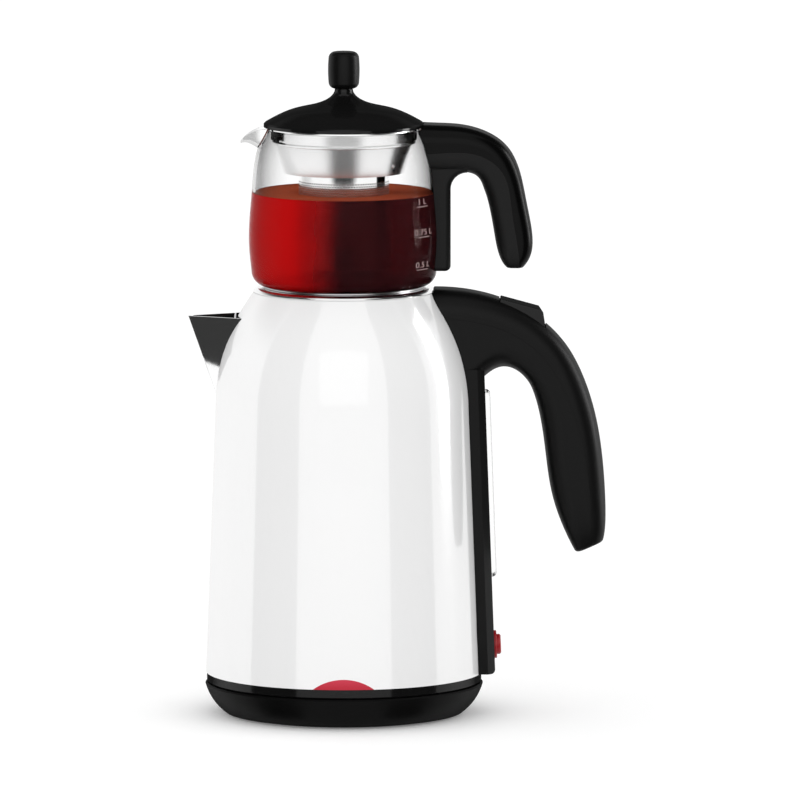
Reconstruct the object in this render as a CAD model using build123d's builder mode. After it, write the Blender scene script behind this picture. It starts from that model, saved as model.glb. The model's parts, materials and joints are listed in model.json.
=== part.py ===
from build123d import *
import os
from math import atan2, cos, hypot, radians, sin, sqrt

os.makedirs("parts", exist_ok=True)

# Automatic tea maker: a lift-off kettle on a power base, with a glass teapot on top.
# Millimetres. +Z is up, the origin is on the kettle's axis at floor level, the spout
# points to -X and both handles to +X. Profiles of round pieces lie in the XZ plane.

# Fits
lift_gap = 0.3            # between pieces that lift off each other
pin_play = 0.05           # radial, switch paddle on its pin
button_play = 0.35        # radial, push-button in its bore
switch_gap = 0.7          # round the switch paddle in its pocket
bond_gap = 0.05           # glue film between handle and shell

# Power base
base_overhang = 1.0       # base's rim beyond the kettle's foot band
base_taper = 12.6         # base's foot inside its rim
base_h = 20.3
base_wall = 2.4
base_lip_w = 6.0          # flat top of the rim
base_edge = 1.0           # bevel round the rim
base_bulge_in = 4.4       # middle of the side inside the rim
base_bulge_drop = 10.6    # and below the top
base_flare = 1.0          # inner wall over the floor plate
base_deck_drop = 3.4      # deck below the rim
base_floor_t = 2.4
pad_in = 10.4             # middle of the anti-slip ring inside the base's foot
pad_w = 8.0
pad_t = 2.0
pad_stand = 1.2           # how far the ring stands below the floor plate
base_screw_in = 28.4      # screws inside the base's foot
base_screw_count = 3
base_screw_grip = 7.0     # thread in the posts
hub_r = 13.0
hub_stand = 17.0          # hub above the deck
hub_flange_w = 6.0
hub_flange_t = 2.0
hub_round = 1.5
contact_r = 8.0           # ring contact; the other is a pin on the axis
contact_w = 1.6
contact_well = 4.0        # depth of the wells in the hub
contact_h = 3.6
gland_r = 4.6
gland_bore_r = 3.2
gland_grip = 8.0          # gland inside the base's foot circle
gland_z = 10.0

# Kettle body
rest_gap = 0.5            # shadow gap between base and kettle
band_inset = 0.6          # gloss ring under the shell, inside the shell's foot
band_h = 6.0
band_wall = 2.4
band_flange_w = 8.0
band_edge = 0.8
shell_foot_r = 88.6
shell_shoulder_r = 82.2
shell_mouth_r = 57.8
shell_wall = 2.0
shoulder_h = 174.7        # top of the straight wall above the shell's foot
shoulder_curve = [(0.21, 0.452), (0.61, 0.786)]  # shares of the way in and up to the mouth
mouth_slope = (-0.56, 0.83)
mouth_h = 244.7           # shell's mouth above its foot
pot_gap = 8.0             # air between shell and pot
pot_wall = 0.8
pot_lift = 19.2           # pot's underside above the shell's foot
seal_h = 5.0
seal_drop = 2.0           # below the mouth
plate_r = 64.0            # heating plate
plate_t = 5.0
element_r = 47.0
element_d = 7.0
element_sink = 1.0        # let into the plate
element_round = 2.8
control_size = (30.0, 24.0)
socket_wall = 3.0
socket_flange_w = 7.0
socket_flange_t = 2.0
bottom_t = 2.4
post_r = 5.0
post_ring_r = 56.0
post_count = 3
thread_r = 2.0

# Mouth ring and steam lid
ring_h = 3.0
ring_overhang = 0.5
ring_edge = 0.8
ring_crown_w = 3.4
ring_crown_r = 4.2
lid_sheet = 0.6
seat_w = 4.3              # steam lid's flange beyond its plug
steam_lid_depth = 12.0
steam_hole_r = 2.0
steam_hole_count = 12
steam_hole_ring_r = 30.0
grip_r = 8.0
grip_round = 1.5

# Spout, with distances from the axis counted from the shell's shoulder
spout_tip_out = 18.6
spout_drop = 15.5         # rim below the mouth
spout_h = 50.5
spout_foot_out = 0.4      # lowest point of the beak
spout_root_in = 20.2
spout_half_w = 19.5       # at the root
spout_tip_r = 2.4
spout_sheet = 1.0
spout_open = 6.0          # height cleared over the trough's rim
spout_foot_w = 0.5        # half the keel's width
spout_foot_tip_r = 0.1
spout_tip_part = 0.4      # tip radius against half the width, at most
spout_back = 14.0         # form carried behind the root
spout_keel = 4.0          # inside's foot over the keel, in sheets
spout_flank = 1.1         # inside's flank from the outside, in sheets
filter_in = 13.2
filter_drop = 15.15       # middle of its holes below the spout's rim
filter_hole_r = 0.9
filter_pitch = 3.4
filter_grid = (5, 6)

# Front light window
window_w = 39.0
window_h = 6.6
lamp_board = (28.0, 4.0)
lamp_gap = 4.0            # board from the shell's inside
led_r = 1.5
led_l = 2.0
led_spread = 8.0

# Back plate, gauge and push-button
back_half_w = 21.0
back_stand = 8.3          # outer face beyond the shell
back_facet = 4.6
back_foot_round = 2.6
back_lift = 0.2           # above the shell's foot
back_top_drop = 48.0      # plate's top below the mouth, inside the handle
gauge_foot_h = 60.6       # above the shell's foot
gauge_h = 121.2
gauge_w = 13.0
gauge_stand = 3.3
gauge_wall = 1.6
gauge_round = 3.0
gauge_tube_r = 3.4
gauge_tube_bore = 2.0
gauge_tube_inset = 11.0   # tube axis from the gauge's ends
button_z = 17.0           # above the shell's foot
button_r = 6.5
button_stand = 4.3
button_cap_t = 6.0
button_round = 1.4
button_stem_r = 2.0
stem_gap = 0.8            # between the stem and the shell's face
bezel_w = 2.1
bezel_stand = 1.6
bezel_round = 0.6
spring_wire_r = 0.3
spring_turns = 4
spring_gap = 0.3          # at each end of the spring
light_switch_size = (16.0, 14.0, 13.0)

# Kettle handle: (distance out from the shell's shoulder, height over the mouth) of its back
# and of its belly, and half its width
kettle_handle = [
    ((-38.2, 2.5), (-38.2, -66.0), 21.0),
    ((-19.2, 2.9), (-12.2, -66.0), 21.0),
    ((1.8, 0.6), (3.8, -57.5), 20.4),
    ((23.8, -6.1), (17.3, -48.0), 19.4),
    ((45.4, -19.0), (31.0, -52.0), 19.0),
    ((63.2, -38.8), (38.8, -63.5), 18.6),
    ((75.1, -65.1), (43.8, -82.5), 18.2),
    ((82.0, -94.0), (47.4, -108.5), 17.6),
    ((85.3, -128.0), (52.2, -134.5), 16.8),
    ((85.6, -148.0), (58.6, -152.0), 15.6),
    ((83.8, -160.0), (66.4, -167.6), 12.4),
]
kettle_handle_end = 2.4
kettle_handle_wall = 2.6
kettle_handle_round = 0.72     # corner radius as a part of half the width
kettle_seam = [(-42.2, -13.0), (-12.1, -15.8), (19.2, -22.9), (44.8, -40.3), (60.8, -67.4),
               (72.4, -107.4), (75.9, -145.0), (75.9, -190.0)]
back_screw_hs = (30.0, 166.0)  # above the shell's foot
round_ease = 0.6          # how much a section's corners tighten with its inset
seam_reach = 60.0         # cutting block past a handle's seam
seam_rise = 30.0          # and over its datum
screw_spread = 14.5
screw_head_r = 3.8
screw_head_t = 2.2
screw_sink = 0.4          # heads let into the shell's inside

# Boil switch on the handle, with points and distances from the same datum as the handle
paddle_profile = [(18.0, -3.6), (42.4, -10.2), (45.4, -14.8), (46.4, -21.2),
                  (38.8, -28.0), (15.8, -17.5)]
paddle_half_w = 11.0
paddle_round = 0.8
paddle_pin = (24.8, -15.5)
paddle_pin_r = 1.5
paddle_turn = 8.0         # degrees pressed
sweep_steps = 4           # cuts that clear the paddle's whole turn
ear_t = 3.0
ear_r = 5.0
thermostat_out = 9.8      # its near face
thermostat_l = 18.0
thermostat_h = 12.0
thermostat_drop = 33.0    # its top under the mouth
steam_tube_r = 3.0
steam_tube_bore = 2.0

# Glass teapot
jug_foot_in = 1.0         # flat foot inside the steam lid's flange
jug_corner_r = 9.2
jug_belly_out = 10.8      # belly beyond the foot
jug_rim_in = 0.2          # rim inside the foot
jug_h = 100.3
jug_wall = 2.2
jug_curve = [(0.0, 0.27), (1.9, 0.61)]  # inside the belly, and share of the height
jug_neck_out = 5.6        # neck beyond the rim
jug_neck_drop = 13.3
jug_slopes = [(0.12, 1.0), (-0.5, 1.0)]  # over the foot's corner and at the rim
jug_rim_round = 0.88
# Pouring lip: distance out from the rim, half its width, and its top and underside below the rim
pour_lip = [(-3.8, 12.5, -0.6, 14.0), (4.7, 10.4, 0.1, 12.4), (10.4, 6.6, 2.6, 9.4),
            (16.2, 2.7, 7.6, 9.3)]
lip_wall = 1.76
lip_corner = 0.85         # corner radius as a part of half the width
lip_over = 8.0            # trough's form carried over the rim
lip_cut = (5.0, 20.0)     # what is cut off over the brow: out, and up

# Teapot handle: (distance out from the glass's belly, height over the glass's rim) of its back
# and of its belly, and half its width
teapot_handle = [
    ((-16.8, 4.0), (-16.8, -27.6), 18.0),
    ((-6.8, 3.9), (-6.8, -27.4), 18.0),
    ((3.2, 3.5), (3.2, -27.2), 18.0),
    ((18.2, 1.9), (16.2, -27.0), 17.8),
    ((33.7, -3.6), (24.5, -29.9), 17.2),
    ((46.2, -14.6), (28.4, -37.2), 16.4),
    ((53.2, -32.0), (31.0, -45.0), 15.6),
    ((57.2, -51.5), (33.8, -58.0), 14.8),
    ((60.2, -72.0), (36.4, -73.0), 14.0),
    ((57.9, -83.0), (39.4, -83.0), 12.2),
    ((53.6, -88.8), (43.8, -88.8), 8.4),
]
teapot_handle_end = 2.2
seam_step = 0.4           # outer half under the inner half at a handle's seam
teapot_handle_round = 0.72
teapot_handle_wall = 2.4
teapot_seam = [(-20.8, -14.0), (-0.8, -14.2), (24.0, -15.2), (40.0, -26.2), (46.4, -51.3),
               (50.9, -80.4), (51.8, -100.0)]
bracket_out = 7.4         # outer face beyond the glass's belly
bracket_l = 30.0
bracket_lap = 4.0         # overlap with the grip's underside
bracket_half_w = 14.0
bracket_foot_h = 10.0     # over the jug's foot
bracket_round = 4.0
arch_r = 10.5             # from the bracket into the grip
bracket_foot_round = 3.6

# Infuser
infuser_sheet = 0.8
infuser_rim_inset = 0.8   # from the glass's outer rim
infuser_cup_gap = 4.0     # from the glass's inner rim
infuser_bead_stand = 2.3
infuser_bead_drop = 8.6
infuser_bead_h = 2.4
infuser_bead_flat = 1.0
infuser_taper = 5.0       # waist inside the cup
infuser_waist_drop = 28.0
vent_r = 1.0
vent_h = 3.4              # above the waist
vent_turn = -37.0         # degrees from +X
sleeve_r = 28.9
sleeve_h = 65.0
sieve_hole_r = 0.9
sieve_rows = 6
sieve_columns = 24
sieve_margin = 5.0        # plain sleeve above and below the holes
notch_play = 1.0          # between the flange's notches and the lid's tabs

# Teapot lid
lid_overhang = 1.4        # beyond the glass's rim
lid_rim_h = 2.4
lid_h = 24.0              # rim's underside to the neck's top
lid_neck_r = 5.8
lid_wall = 2.4
lid_bevel = 1.0
lid_curve = [(0.64, 0.462)]  # shares of the lid's radius and height
neck_curve = [(8.0, 0.672), (1.0, 0.88)]  # beyond the neck, and share of the height
lid_slope = (-0.86, 0.5)
lid_inner_edge = 2.0      # inside's bevel over the rim
lid_inner_curve = (0.6, 0.48)  # shares of radius and height, less the wall
screw_seat_part = 0.64    # share of the height, less the wall
tab_gap = 1.0             # between the tabs and the glass
tab_t = 1.6
tab_half_w = 19.0
tab_root = 0.6            # into the dome
knob_r = 10.1
knob_h = 23.7
knob_bulge = 0.8          # ends inside the middle
knob_gap = 0.4            # collar between neck and knob
collar_inset = 0.8
knob_round = 4.2
knob_thread_r = 2.2
knob_head_r = 4.4
knob_head_t = 2.2

# Places worked out from the sizes above
band_r = shell_foot_r - band_inset
base_rim_r = band_r + base_overhang
base_foot_r = base_rim_r - base_taper
pad_r = base_foot_r - pad_in
base_screw_r = base_foot_r - base_screw_in
spout_reach = shell_shoulder_r + spout_tip_out
spout_foot_x = shell_shoulder_r + spout_foot_out
spout_root_x = shell_shoulder_r - spout_root_in
filter_x = shell_shoulder_r - filter_in
thermostat_x = shell_shoulder_r + thermostat_out
pot_inset = shell_wall + pot_gap
pot_mouth_r = shell_mouth_r - pot_inset
ring_bore_r = pot_mouth_r - pot_wall
plug_r = ring_bore_r - lift_gap
steam_lid_flange_r = plug_r + seat_w
jug_foot_r = steam_lid_flange_r - jug_foot_in
jug_belly_r = jug_foot_r + jug_belly_out
jug_rim_r = jug_foot_r - jug_rim_in
bracket_x = jug_belly_r + bracket_out
infuser_rim_r = jug_rim_r - infuser_rim_inset
infuser_cup_r = jug_rim_r - jug_wall - infuser_cup_gap
infuser_bead_r = infuser_cup_r + infuser_bead_stand
infuser_waist_r = infuser_cup_r - infuser_taper
lid_r = jug_rim_r + lid_overhang
tab_r = jug_rim_r - jug_wall - tab_gap
kettle_foot_z = base_h + rest_gap
shell_foot_z = kettle_foot_z + band_h
shoulder_z = shell_foot_z + shoulder_h
mouth_z = shell_foot_z + mouth_h
ring_top_z = mouth_z + ring_h
pot_foot_z = shell_foot_z + pot_lift
steam_lid_z = ring_top_z + lift_gap
jug_foot_z = steam_lid_z + lid_sheet + lift_gap
jug_rim_z = jug_foot_z + jug_h
infuser_rim_z = jug_rim_z + lift_gap
lid_rim_z = infuser_rim_z + infuser_sheet + lift_gap
neck_top_z = lid_rim_z + lid_h
deck_z = base_h - base_deck_drop
hub_top_z = deck_z + hub_stand
wall_lean = atan2(shell_foot_r - shell_shoulder_r, shoulder_h)


# ---- shared forms ----

def wall_r(z):
    """Radius of the shell's straight wall at height z."""
    return shell_foot_r - (shell_foot_r - shell_shoulder_r) * (z - shell_foot_z) / shoulder_h


def vessel(inset, floor_z):
    """Filled round body that follows the shell, this far inside it."""
    shoulder = mouth_h - shoulder_h
    with BuildPart() as body:
        with BuildSketch(Plane.XZ):
            with BuildLine():
                start = (wall_r(floor_z) - inset, floor_z)
                Line((0, floor_z), start)
                Line(start, (shell_shoulder_r - inset, shoulder_z))
                Spline(
                    (shell_shoulder_r - inset, shoulder_z),
                    *[(shell_shoulder_r - share * (shell_shoulder_r - shell_mouth_r) - inset,
                       shoulder_z + rise * shoulder) for share, rise in shoulder_curve],
                    (shell_mouth_r - inset, mouth_z),
                    tangents=[(-sin(wall_lean), cos(wall_lean)), mouth_slope],
                )
                Polyline((shell_mouth_r - inset, mouth_z), (0, mouth_z), (0, floor_z))
            make_face()
        revolve(axis=Axis.Z)
    return body.part


def jug_form(inset, floor_z):
    """Filled round body that follows the glass, this far inside it."""
    corner = jug_corner_r - inset if floor_z > jug_foot_z else jug_corner_r
    side_r = jug_foot_r + jug_corner_r - inset
    with BuildPart() as body:
        with BuildSketch(Plane.XZ):
            with BuildLine():
                Line((0, floor_z), (side_r - corner, floor_z))
                RadiusArc((side_r - corner, floor_z), (side_r, floor_z + corner), -corner)
                Spline(
                    (side_r, floor_z + corner),
                    *[(jug_belly_r - draw - inset, jug_foot_z + rise * jug_h)
                      for draw, rise in jug_curve],
                    (jug_rim_r + jug_neck_out - inset, jug_rim_z - jug_neck_drop),
                    (jug_rim_r - inset, jug_rim_z),
                    tangents=jug_slopes,
                )
                Polyline((jug_rim_r - inset, jug_rim_z), (0, jug_rim_z), (0, floor_z))
            make_face()
        revolve(axis=Axis.Z)
    return body.part


def beak(sheet=0.0, over=0.0):
    """V-shaped trough of the spout. A sheet thickness gives its inside, carried over the rim."""
    keel = spout_keel * sheet
    with BuildPart() as body:
        for height in (keel, spout_h + over):
            rise = height / spout_h
            half_w = spout_half_w * rise + spout_foot_w - spout_flank * sheet
            reach = spout_foot_x + (spout_reach - spout_foot_x) * rise
            sharp = atan2(half_w, reach - spout_root_x)
            tip_r = min(spout_tip_r * rise + spout_foot_tip_r, spout_tip_part * half_w)
            tip_x = reach + tip_r / sin(sharp) - tip_r - sheet / sin(sharp)
            back_x = spout_root_x - spout_back
            back_w = half_w * (tip_x - back_x) / (tip_x - spout_root_x)
            with BuildSketch(Plane.XY.offset(mouth_z - spout_drop - spout_h + height)) as cut:
                with BuildLine():
                    Polyline((-tip_x, 0), (-back_x, back_w), (-back_x, -back_w), close=True)
                make_face()
                fillet(cut.vertices().sort_by(Axis.X)[0], tip_r)
        loft(ruled=True)
    return body.part


def handle_body(stations, datum_x, datum_z, corner, inset=0.0, end=0.0):
    """Loft of rounded sections square to the handle's run, this far inside its skin."""
    with BuildPart() as body:
        for back, belly, half_w in stations:
            across = (back[0] - belly[0], back[1] - belly[1])
            depth = hypot(*across)
            middle = (datum_x + (back[0] + belly[0]) / 2, 0, datum_z + (back[1] + belly[1]) / 2)
            place = Plane(middle, x_dir=(across[0], 0, across[1]),
                          z_dir=(across[1], 0, -across[0]))
            with BuildSketch(place):
                RectangleRounded(depth - 2 * inset, 2 * (half_w - inset),
                                 min(half_w, depth / 2) * corner - inset * round_ease)
        loft()
        if end:
            fillet(body.faces().sort_by(Axis.Z)[0].edges(), end)
    return body.part


def seam_side(points, datum_x, datum_z, half_w):
    """Block above and outside a seam line that crosses a handle from side to side."""
    with BuildPart() as body:
        with BuildSketch(Plane.XZ):
            with BuildLine():
                seam = Spline(*[(datum_x + x, datum_z + z) for x, z in points])
                far_x = datum_x + points[-1][0] + seam_reach
                Polyline(seam @ 1, (far_x, datum_z + points[-1][1]),
                         (far_x, datum_z + seam_rise),
                         (datum_x + points[0][0], datum_z + seam_rise), seam @ 0)
            make_face()
        extrude(amount=half_w, both=True)
    return body.part


def back_face(z):
    """Plane on the back plate's outer face at height z, local Z outwards, local Y upwards."""
    return Plane((wall_r(z) + back_stand, 0, z), x_dir=(0, 1, 0),
                 z_dir=(cos(wall_lean), 0, sin(wall_lean)))


def outermost(body, place):
    """The body's last face along a plane's normal."""
    return body.faces().sort_by(Axis(place.origin, place.z_dir))[-1]


shell_outside = vessel(0, shell_foot_z)
shell_inside = vessel(shell_wall, shell_foot_z)
shell_skin = vessel(-bond_gap, shell_foot_z)
pot_outside = vessel(pot_inset, pot_foot_z)
pot_inside = vessel(pot_inset + pot_wall, pot_foot_z + pot_wall)
glass_outside = jug_form(0, jug_foot_z)
glass_inside = jug_form(jug_wall, jug_foot_z + jug_wall)
beak_outside = beak()
beak_inside = beak(spout_sheet, spout_open)
kettle_handle_outside = handle_body(kettle_handle, shell_shoulder_r, mouth_z,
                                    kettle_handle_round, end=kettle_handle_end)
kettle_handle_outer = handle_body(kettle_handle, shell_shoulder_r, mouth_z,
                                  kettle_handle_round, seam_step, kettle_handle_end)
teapot_handle_outside = handle_body(teapot_handle, jug_belly_r, jug_rim_z,
                                    teapot_handle_round, end=teapot_handle_end)
teapot_handle_outer = handle_body(teapot_handle, jug_belly_r, jug_rim_z,
                                  teapot_handle_round, seam_step, teapot_handle_end)


# ---- power base ----

base_in_r = base_foot_r - base_wall
deck_under_z = deck_z - base_wall
gland_in_y = base_foot_r - gland_grip
with BuildPart() as base_cover:
    with BuildSketch(Plane.XZ):
        with BuildLine():
            side = ThreePointArc((base_foot_r, pad_stand),
                                 (base_rim_r - base_bulge_in, base_h - base_bulge_drop),
                                 (base_rim_r, base_h - base_edge))
            Polyline(
                side @ 1, (base_rim_r - base_edge, base_h), (base_rim_r - base_lip_w, base_h),
                (base_rim_r - base_lip_w, deck_z), (hub_r, deck_z), (hub_r, deck_under_z),
                (base_rim_r - base_lip_w - base_wall, deck_under_z),
                (base_in_r + base_flare, pad_stand + base_floor_t),
                (base_in_r, pad_stand + base_floor_t),
                (base_in_r, pad_stand), side @ 0,
            )
        make_face()
    revolve(axis=Axis.Z)
    with BuildSketch(Plane.XY.offset(pad_stand + base_floor_t)):
        with PolarLocations(base_screw_r, base_screw_count):
            Circle(post_r)
    extrude(until=Until.NEXT)
    with BuildSketch(Plane.XY.offset(pad_stand + base_floor_t)):
        with PolarLocations(base_screw_r, base_screw_count):
            Circle(thread_r)
    extrude(amount=base_screw_grip, mode=Mode.SUBTRACT)
    with BuildSketch(Plane.XZ.offset(-gland_in_y)):
        with Locations((0, gland_z)):
            Circle(gland_r)
    extrude(amount=-base_rim_r, mode=Mode.SUBTRACT)
base_cover.part.label = "base_cover"
export_step(base_cover.part, "parts/base_cover.step")

with BuildPart() as base_floor:
    with BuildSketch(Plane.XY.offset(pad_stand)):
        Circle(base_in_r)
    extrude(amount=base_floor_t)
    with BuildSketch(Plane.XY.offset(pad_stand)):
        Circle(pad_r + pad_w / 2)
        Circle(pad_r - pad_w / 2, mode=Mode.SUBTRACT)
    extrude(amount=pad_t - pad_stand, mode=Mode.SUBTRACT)
    with BuildSketch(Plane.XY.offset(pad_stand)):
        with PolarLocations(base_screw_r, base_screw_count):
            Circle(thread_r)
    extrude(amount=base_floor_t, mode=Mode.SUBTRACT)
    with BuildSketch(Plane.XY.offset(pad_stand)):
        with PolarLocations(base_screw_r, base_screw_count):
            Circle(screw_head_r)
    extrude(amount=base_floor_t / 2, mode=Mode.SUBTRACT)
base_floor.part.label = "base_floor"
export_step(base_floor.part, "parts/base_floor.step")

with BuildPart() as anti_slip_ring:
    with BuildSketch():
        Circle(pad_r + pad_w / 2)
        Circle(pad_r - pad_w / 2, mode=Mode.SUBTRACT)
    extrude(amount=pad_t)
anti_slip_ring.part.label = "anti_slip_ring"
export_step(anti_slip_ring.part, "parts/anti_slip_ring.step")

with BuildPart() as base_screws:
    with BuildSketch(Plane.XY.offset(pad_stand)):
        with PolarLocations(base_screw_r, base_screw_count):
            Circle(screw_head_r)
    extrude(amount=base_floor_t / 2)
    with BuildSketch(Plane.XY.offset(pad_stand)):
        with PolarLocations(base_screw_r, base_screw_count):
            Circle(thread_r)
    extrude(amount=base_floor_t + base_screw_grip)
base_screws.part.label = "base_screws"
export_step(base_screws.part, "parts/base_screws.step")

with BuildPart() as base_hub:
    with BuildSketch(Plane.XY.offset(deck_under_z - hub_flange_t)):
        Circle(hub_r + hub_flange_w)
    extrude(amount=hub_flange_t)
    with BuildSketch(Plane.XY.offset(deck_under_z)):
        Circle(hub_r)
    extrude(amount=hub_top_z - deck_under_z)
    fillet(base_hub.edges().group_by(Axis.Z)[-1], hub_round)
    with BuildSketch(Plane.XY.offset(hub_top_z)):
        Circle(contact_r)
        Circle(contact_r - contact_w, mode=Mode.SUBTRACT)
        Circle(contact_w * 2)
    extrude(amount=-contact_well, mode=Mode.SUBTRACT)
base_hub.part.label = "base_hub"
export_step(base_hub.part, "parts/base_hub.step")

with BuildPart() as base_contacts:
    with BuildSketch(Plane.XY.offset(hub_top_z - contact_well)):
        Circle(contact_r)
        Circle(contact_r - contact_w, mode=Mode.SUBTRACT)
        Circle(contact_w)
    extrude(amount=contact_h)
base_contacts.part.label = "base_contacts"
export_step(base_contacts.part, "parts/base_contacts.step")

with BuildPart() as cord_gland:
    with BuildSketch(Plane.XZ.offset(-gland_in_y)):
        with Locations((0, gland_z)):
            Circle(gland_r)
            Circle(gland_bore_r, mode=Mode.SUBTRACT)
    extrude(amount=gland_in_y - base_rim_r)
cord_gland.part.label = "cord_gland"
export_step(cord_gland.part, "parts/cord_gland.step")


# ---- kettle: foot, bottom and heating ----

with BuildPart() as foot_band:
    with BuildSketch(Plane.XZ):
        with BuildLine():
            Polyline(
                (band_r - band_wall, kettle_foot_z), (band_r - band_edge, kettle_foot_z),
                (band_r, kettle_foot_z + band_edge), (band_r, shell_foot_z),
                (band_r - band_wall - band_flange_w, shell_foot_z),
                (band_r - band_wall - band_flange_w, shell_foot_z - band_wall),
                (band_r - band_wall, shell_foot_z - band_wall), close=True,
            )
        make_face()
    revolve(axis=Axis.Z)
foot_band.part.label = "foot_band"
export_step(foot_band.part, "parts/foot_band.step")

bottom_z = shell_foot_z - band_wall - bottom_t
socket_in_r = hub_r + lift_gap
socket_in_z = hub_top_z + lift_gap
socket_top_z = socket_in_z + socket_wall
plate_z = pot_foot_z - plate_t
with BuildPart() as kettle_bottom:
    with BuildSketch(Plane.XY.offset(bottom_z)):
        Circle(band_r - band_wall)
    extrude(amount=bottom_t)
    with BuildSketch(Plane.XY.offset(bottom_z)):
        with PolarLocations(post_ring_r, post_count):
            Circle(post_r)
    extrude(amount=plate_z - bottom_z)
    with BuildSketch(Plane.XY.offset(bottom_z)):
        Circle(socket_in_r + socket_wall)
        with PolarLocations(post_ring_r, post_count):
            Circle(thread_r)
    extrude(amount=plate_z - bottom_z, mode=Mode.SUBTRACT)
kettle_bottom.part.label = "kettle_bottom"
export_step(kettle_bottom.part, "parts/kettle_bottom.step")

with BuildPart() as bottom_screws:
    with BuildSketch(Plane.XY.offset(bottom_z)):
        with PolarLocations(post_ring_r, post_count):
            Circle(thread_r)
    extrude(amount=plate_z - bottom_z + plate_t / 2)
bottom_screws.part.label = "bottom_screws"
export_step(bottom_screws.part, "parts/bottom_screws.step")

with BuildPart() as kettle_socket:
    with BuildSketch(Plane.XY.offset(bottom_z)):
        Circle(socket_in_r + socket_wall)
    extrude(amount=socket_top_z - bottom_z)
    with BuildSketch(Plane.XY.offset(bottom_z + bottom_t)):
        Circle(socket_in_r + socket_wall + socket_flange_w)
        Circle(socket_in_r + socket_wall, mode=Mode.SUBTRACT)
    extrude(amount=socket_flange_t)
    with BuildSketch(Plane.XY.offset(bottom_z)):
        Circle(socket_in_r)
    extrude(amount=socket_in_z - bottom_z, mode=Mode.SUBTRACT)
    with BuildSketch(Plane.XY.offset(socket_in_z)):
        Circle(contact_r)
        Circle(contact_r - contact_w, mode=Mode.SUBTRACT)
        Circle(contact_w)
    extrude(amount=socket_wall / 2, mode=Mode.SUBTRACT)
kettle_socket.part.label = "kettle_socket"
export_step(kettle_socket.part, "parts/kettle_socket.step")

with BuildPart() as socket_contacts:
    with BuildSketch(Plane.XY.offset(socket_in_z)):
        Circle(contact_r)
        Circle(contact_r - contact_w, mode=Mode.SUBTRACT)
        Circle(contact_w)
    extrude(amount=socket_wall / 2)
socket_contacts.part.label = "socket_contacts"
export_step(socket_contacts.part, "parts/socket_contacts.step")

with BuildPart() as boil_dry_control:
    with BuildSketch(Plane.XY.offset(socket_top_z)):
        RectangleRounded(*control_size, control_size[1] / 6)
    extrude(amount=plate_z - socket_top_z)
boil_dry_control.part.label = "boil_dry_control"
export_step(boil_dry_control.part, "parts/boil_dry_control.step")

with BuildPart() as heating_plate:
    with BuildSketch(Plane.XY.offset(plate_z)):
        Circle(plate_r)
    extrude(amount=plate_t)
    with BuildSketch(Plane.XY.offset(plate_z)):
        with PolarLocations(post_ring_r, post_count):
            Circle(thread_r)
    extrude(amount=plate_t / 2, mode=Mode.SUBTRACT)
    with BuildSketch(Plane.XY.offset(plate_z)):
        Circle(element_r + element_d / 2)
        Circle(element_r - element_d / 2, mode=Mode.SUBTRACT)
    extrude(amount=element_sink, mode=Mode.SUBTRACT)
heating_plate.part.label = "heating_plate"
export_step(heating_plate.part, "parts/heating_plate.step")

with BuildPart() as heating_element:
    with BuildSketch(Plane.XY.offset(plate_z + element_sink - element_d)):
        Circle(element_r + element_d / 2)
        Circle(element_r - element_d / 2, mode=Mode.SUBTRACT)
    extrude(amount=element_d)
    fillet(heating_element.edges().group_by(Axis.Z)[0], element_round)
heating_element.part.label = "heating_element"
export_step(heating_element.part, "parts/heating_element.step")


# ---- kettle: shell, pot and mouth ----

window_r = ((window_w / 2) ** 2 + window_h ** 2) / (2 * window_h)
with BuildPart() as window_cutter:
    with BuildSketch(Plane.XZ.offset(shell_foot_r / 2)):
        with Locations((0, shell_foot_z + window_h - window_r)):
            Circle(window_r)
    extrude(amount=shell_foot_r)

button_plane = back_face(shell_foot_z + button_z)
gauge_tube_zs = [shell_foot_z + gauge_foot_h + gauge_tube_inset,
                 shell_foot_z + gauge_foot_h + gauge_h - gauge_tube_inset]
steam_tube_z = mouth_z - thermostat_drop - thermostat_h / 2

with BuildPart() as back_screws:
    for h in back_screw_hs:
        for y in (-screw_spread, screw_spread):
            seat_x = sqrt((wall_r(shell_foot_z + h) - shell_wall) ** 2 - y ** 2) + screw_sink
            with BuildSketch(Plane.YZ.offset(seat_x)):
                with Locations((y, shell_foot_z + h)):
                    Circle(screw_head_r)
            extrude(amount=-screw_head_t)
            with BuildSketch(Plane.YZ.offset(seat_x)):
                with Locations((y, shell_foot_z + h)):
                    Circle(thread_r)
            extrude(amount=back_stand)
back_screws.part.label = "back_screws"
export_step(back_screws.part, "parts/back_screws.step")

with BuildPart() as outer_shell:
    add(shell_outside)
    add(shell_inside, mode=Mode.SUBTRACT)
    add(beak_outside, mode=Mode.SUBTRACT)
    add(window_cutter.part, mode=Mode.SUBTRACT)
    with BuildSketch(button_plane):
        Circle(button_stem_r + button_play)
    extrude(amount=-2 * back_stand, mode=Mode.SUBTRACT)
    with BuildSketch(Plane.YZ.offset(shell_mouth_r)):
        with Locations(*[(0, z) for z in gauge_tube_zs]):
            Circle(gauge_tube_r)
        with Locations((0, steam_tube_z)):
            Circle(steam_tube_r)
    extrude(amount=shell_foot_r, mode=Mode.SUBTRACT)
    add(back_screws.part, mode=Mode.SUBTRACT)
outer_shell.part.label = "outer_shell"
export_step(outer_shell.part, "parts/outer_shell.step")

with BuildPart() as window_lens:
    add(shell_outside)
    add(shell_inside, mode=Mode.SUBTRACT)
    add(window_cutter.part, mode=Mode.INTERSECT)
window_lens.part.label = "window_lens"
export_step(window_lens.part, "parts/window_lens.step")

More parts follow.
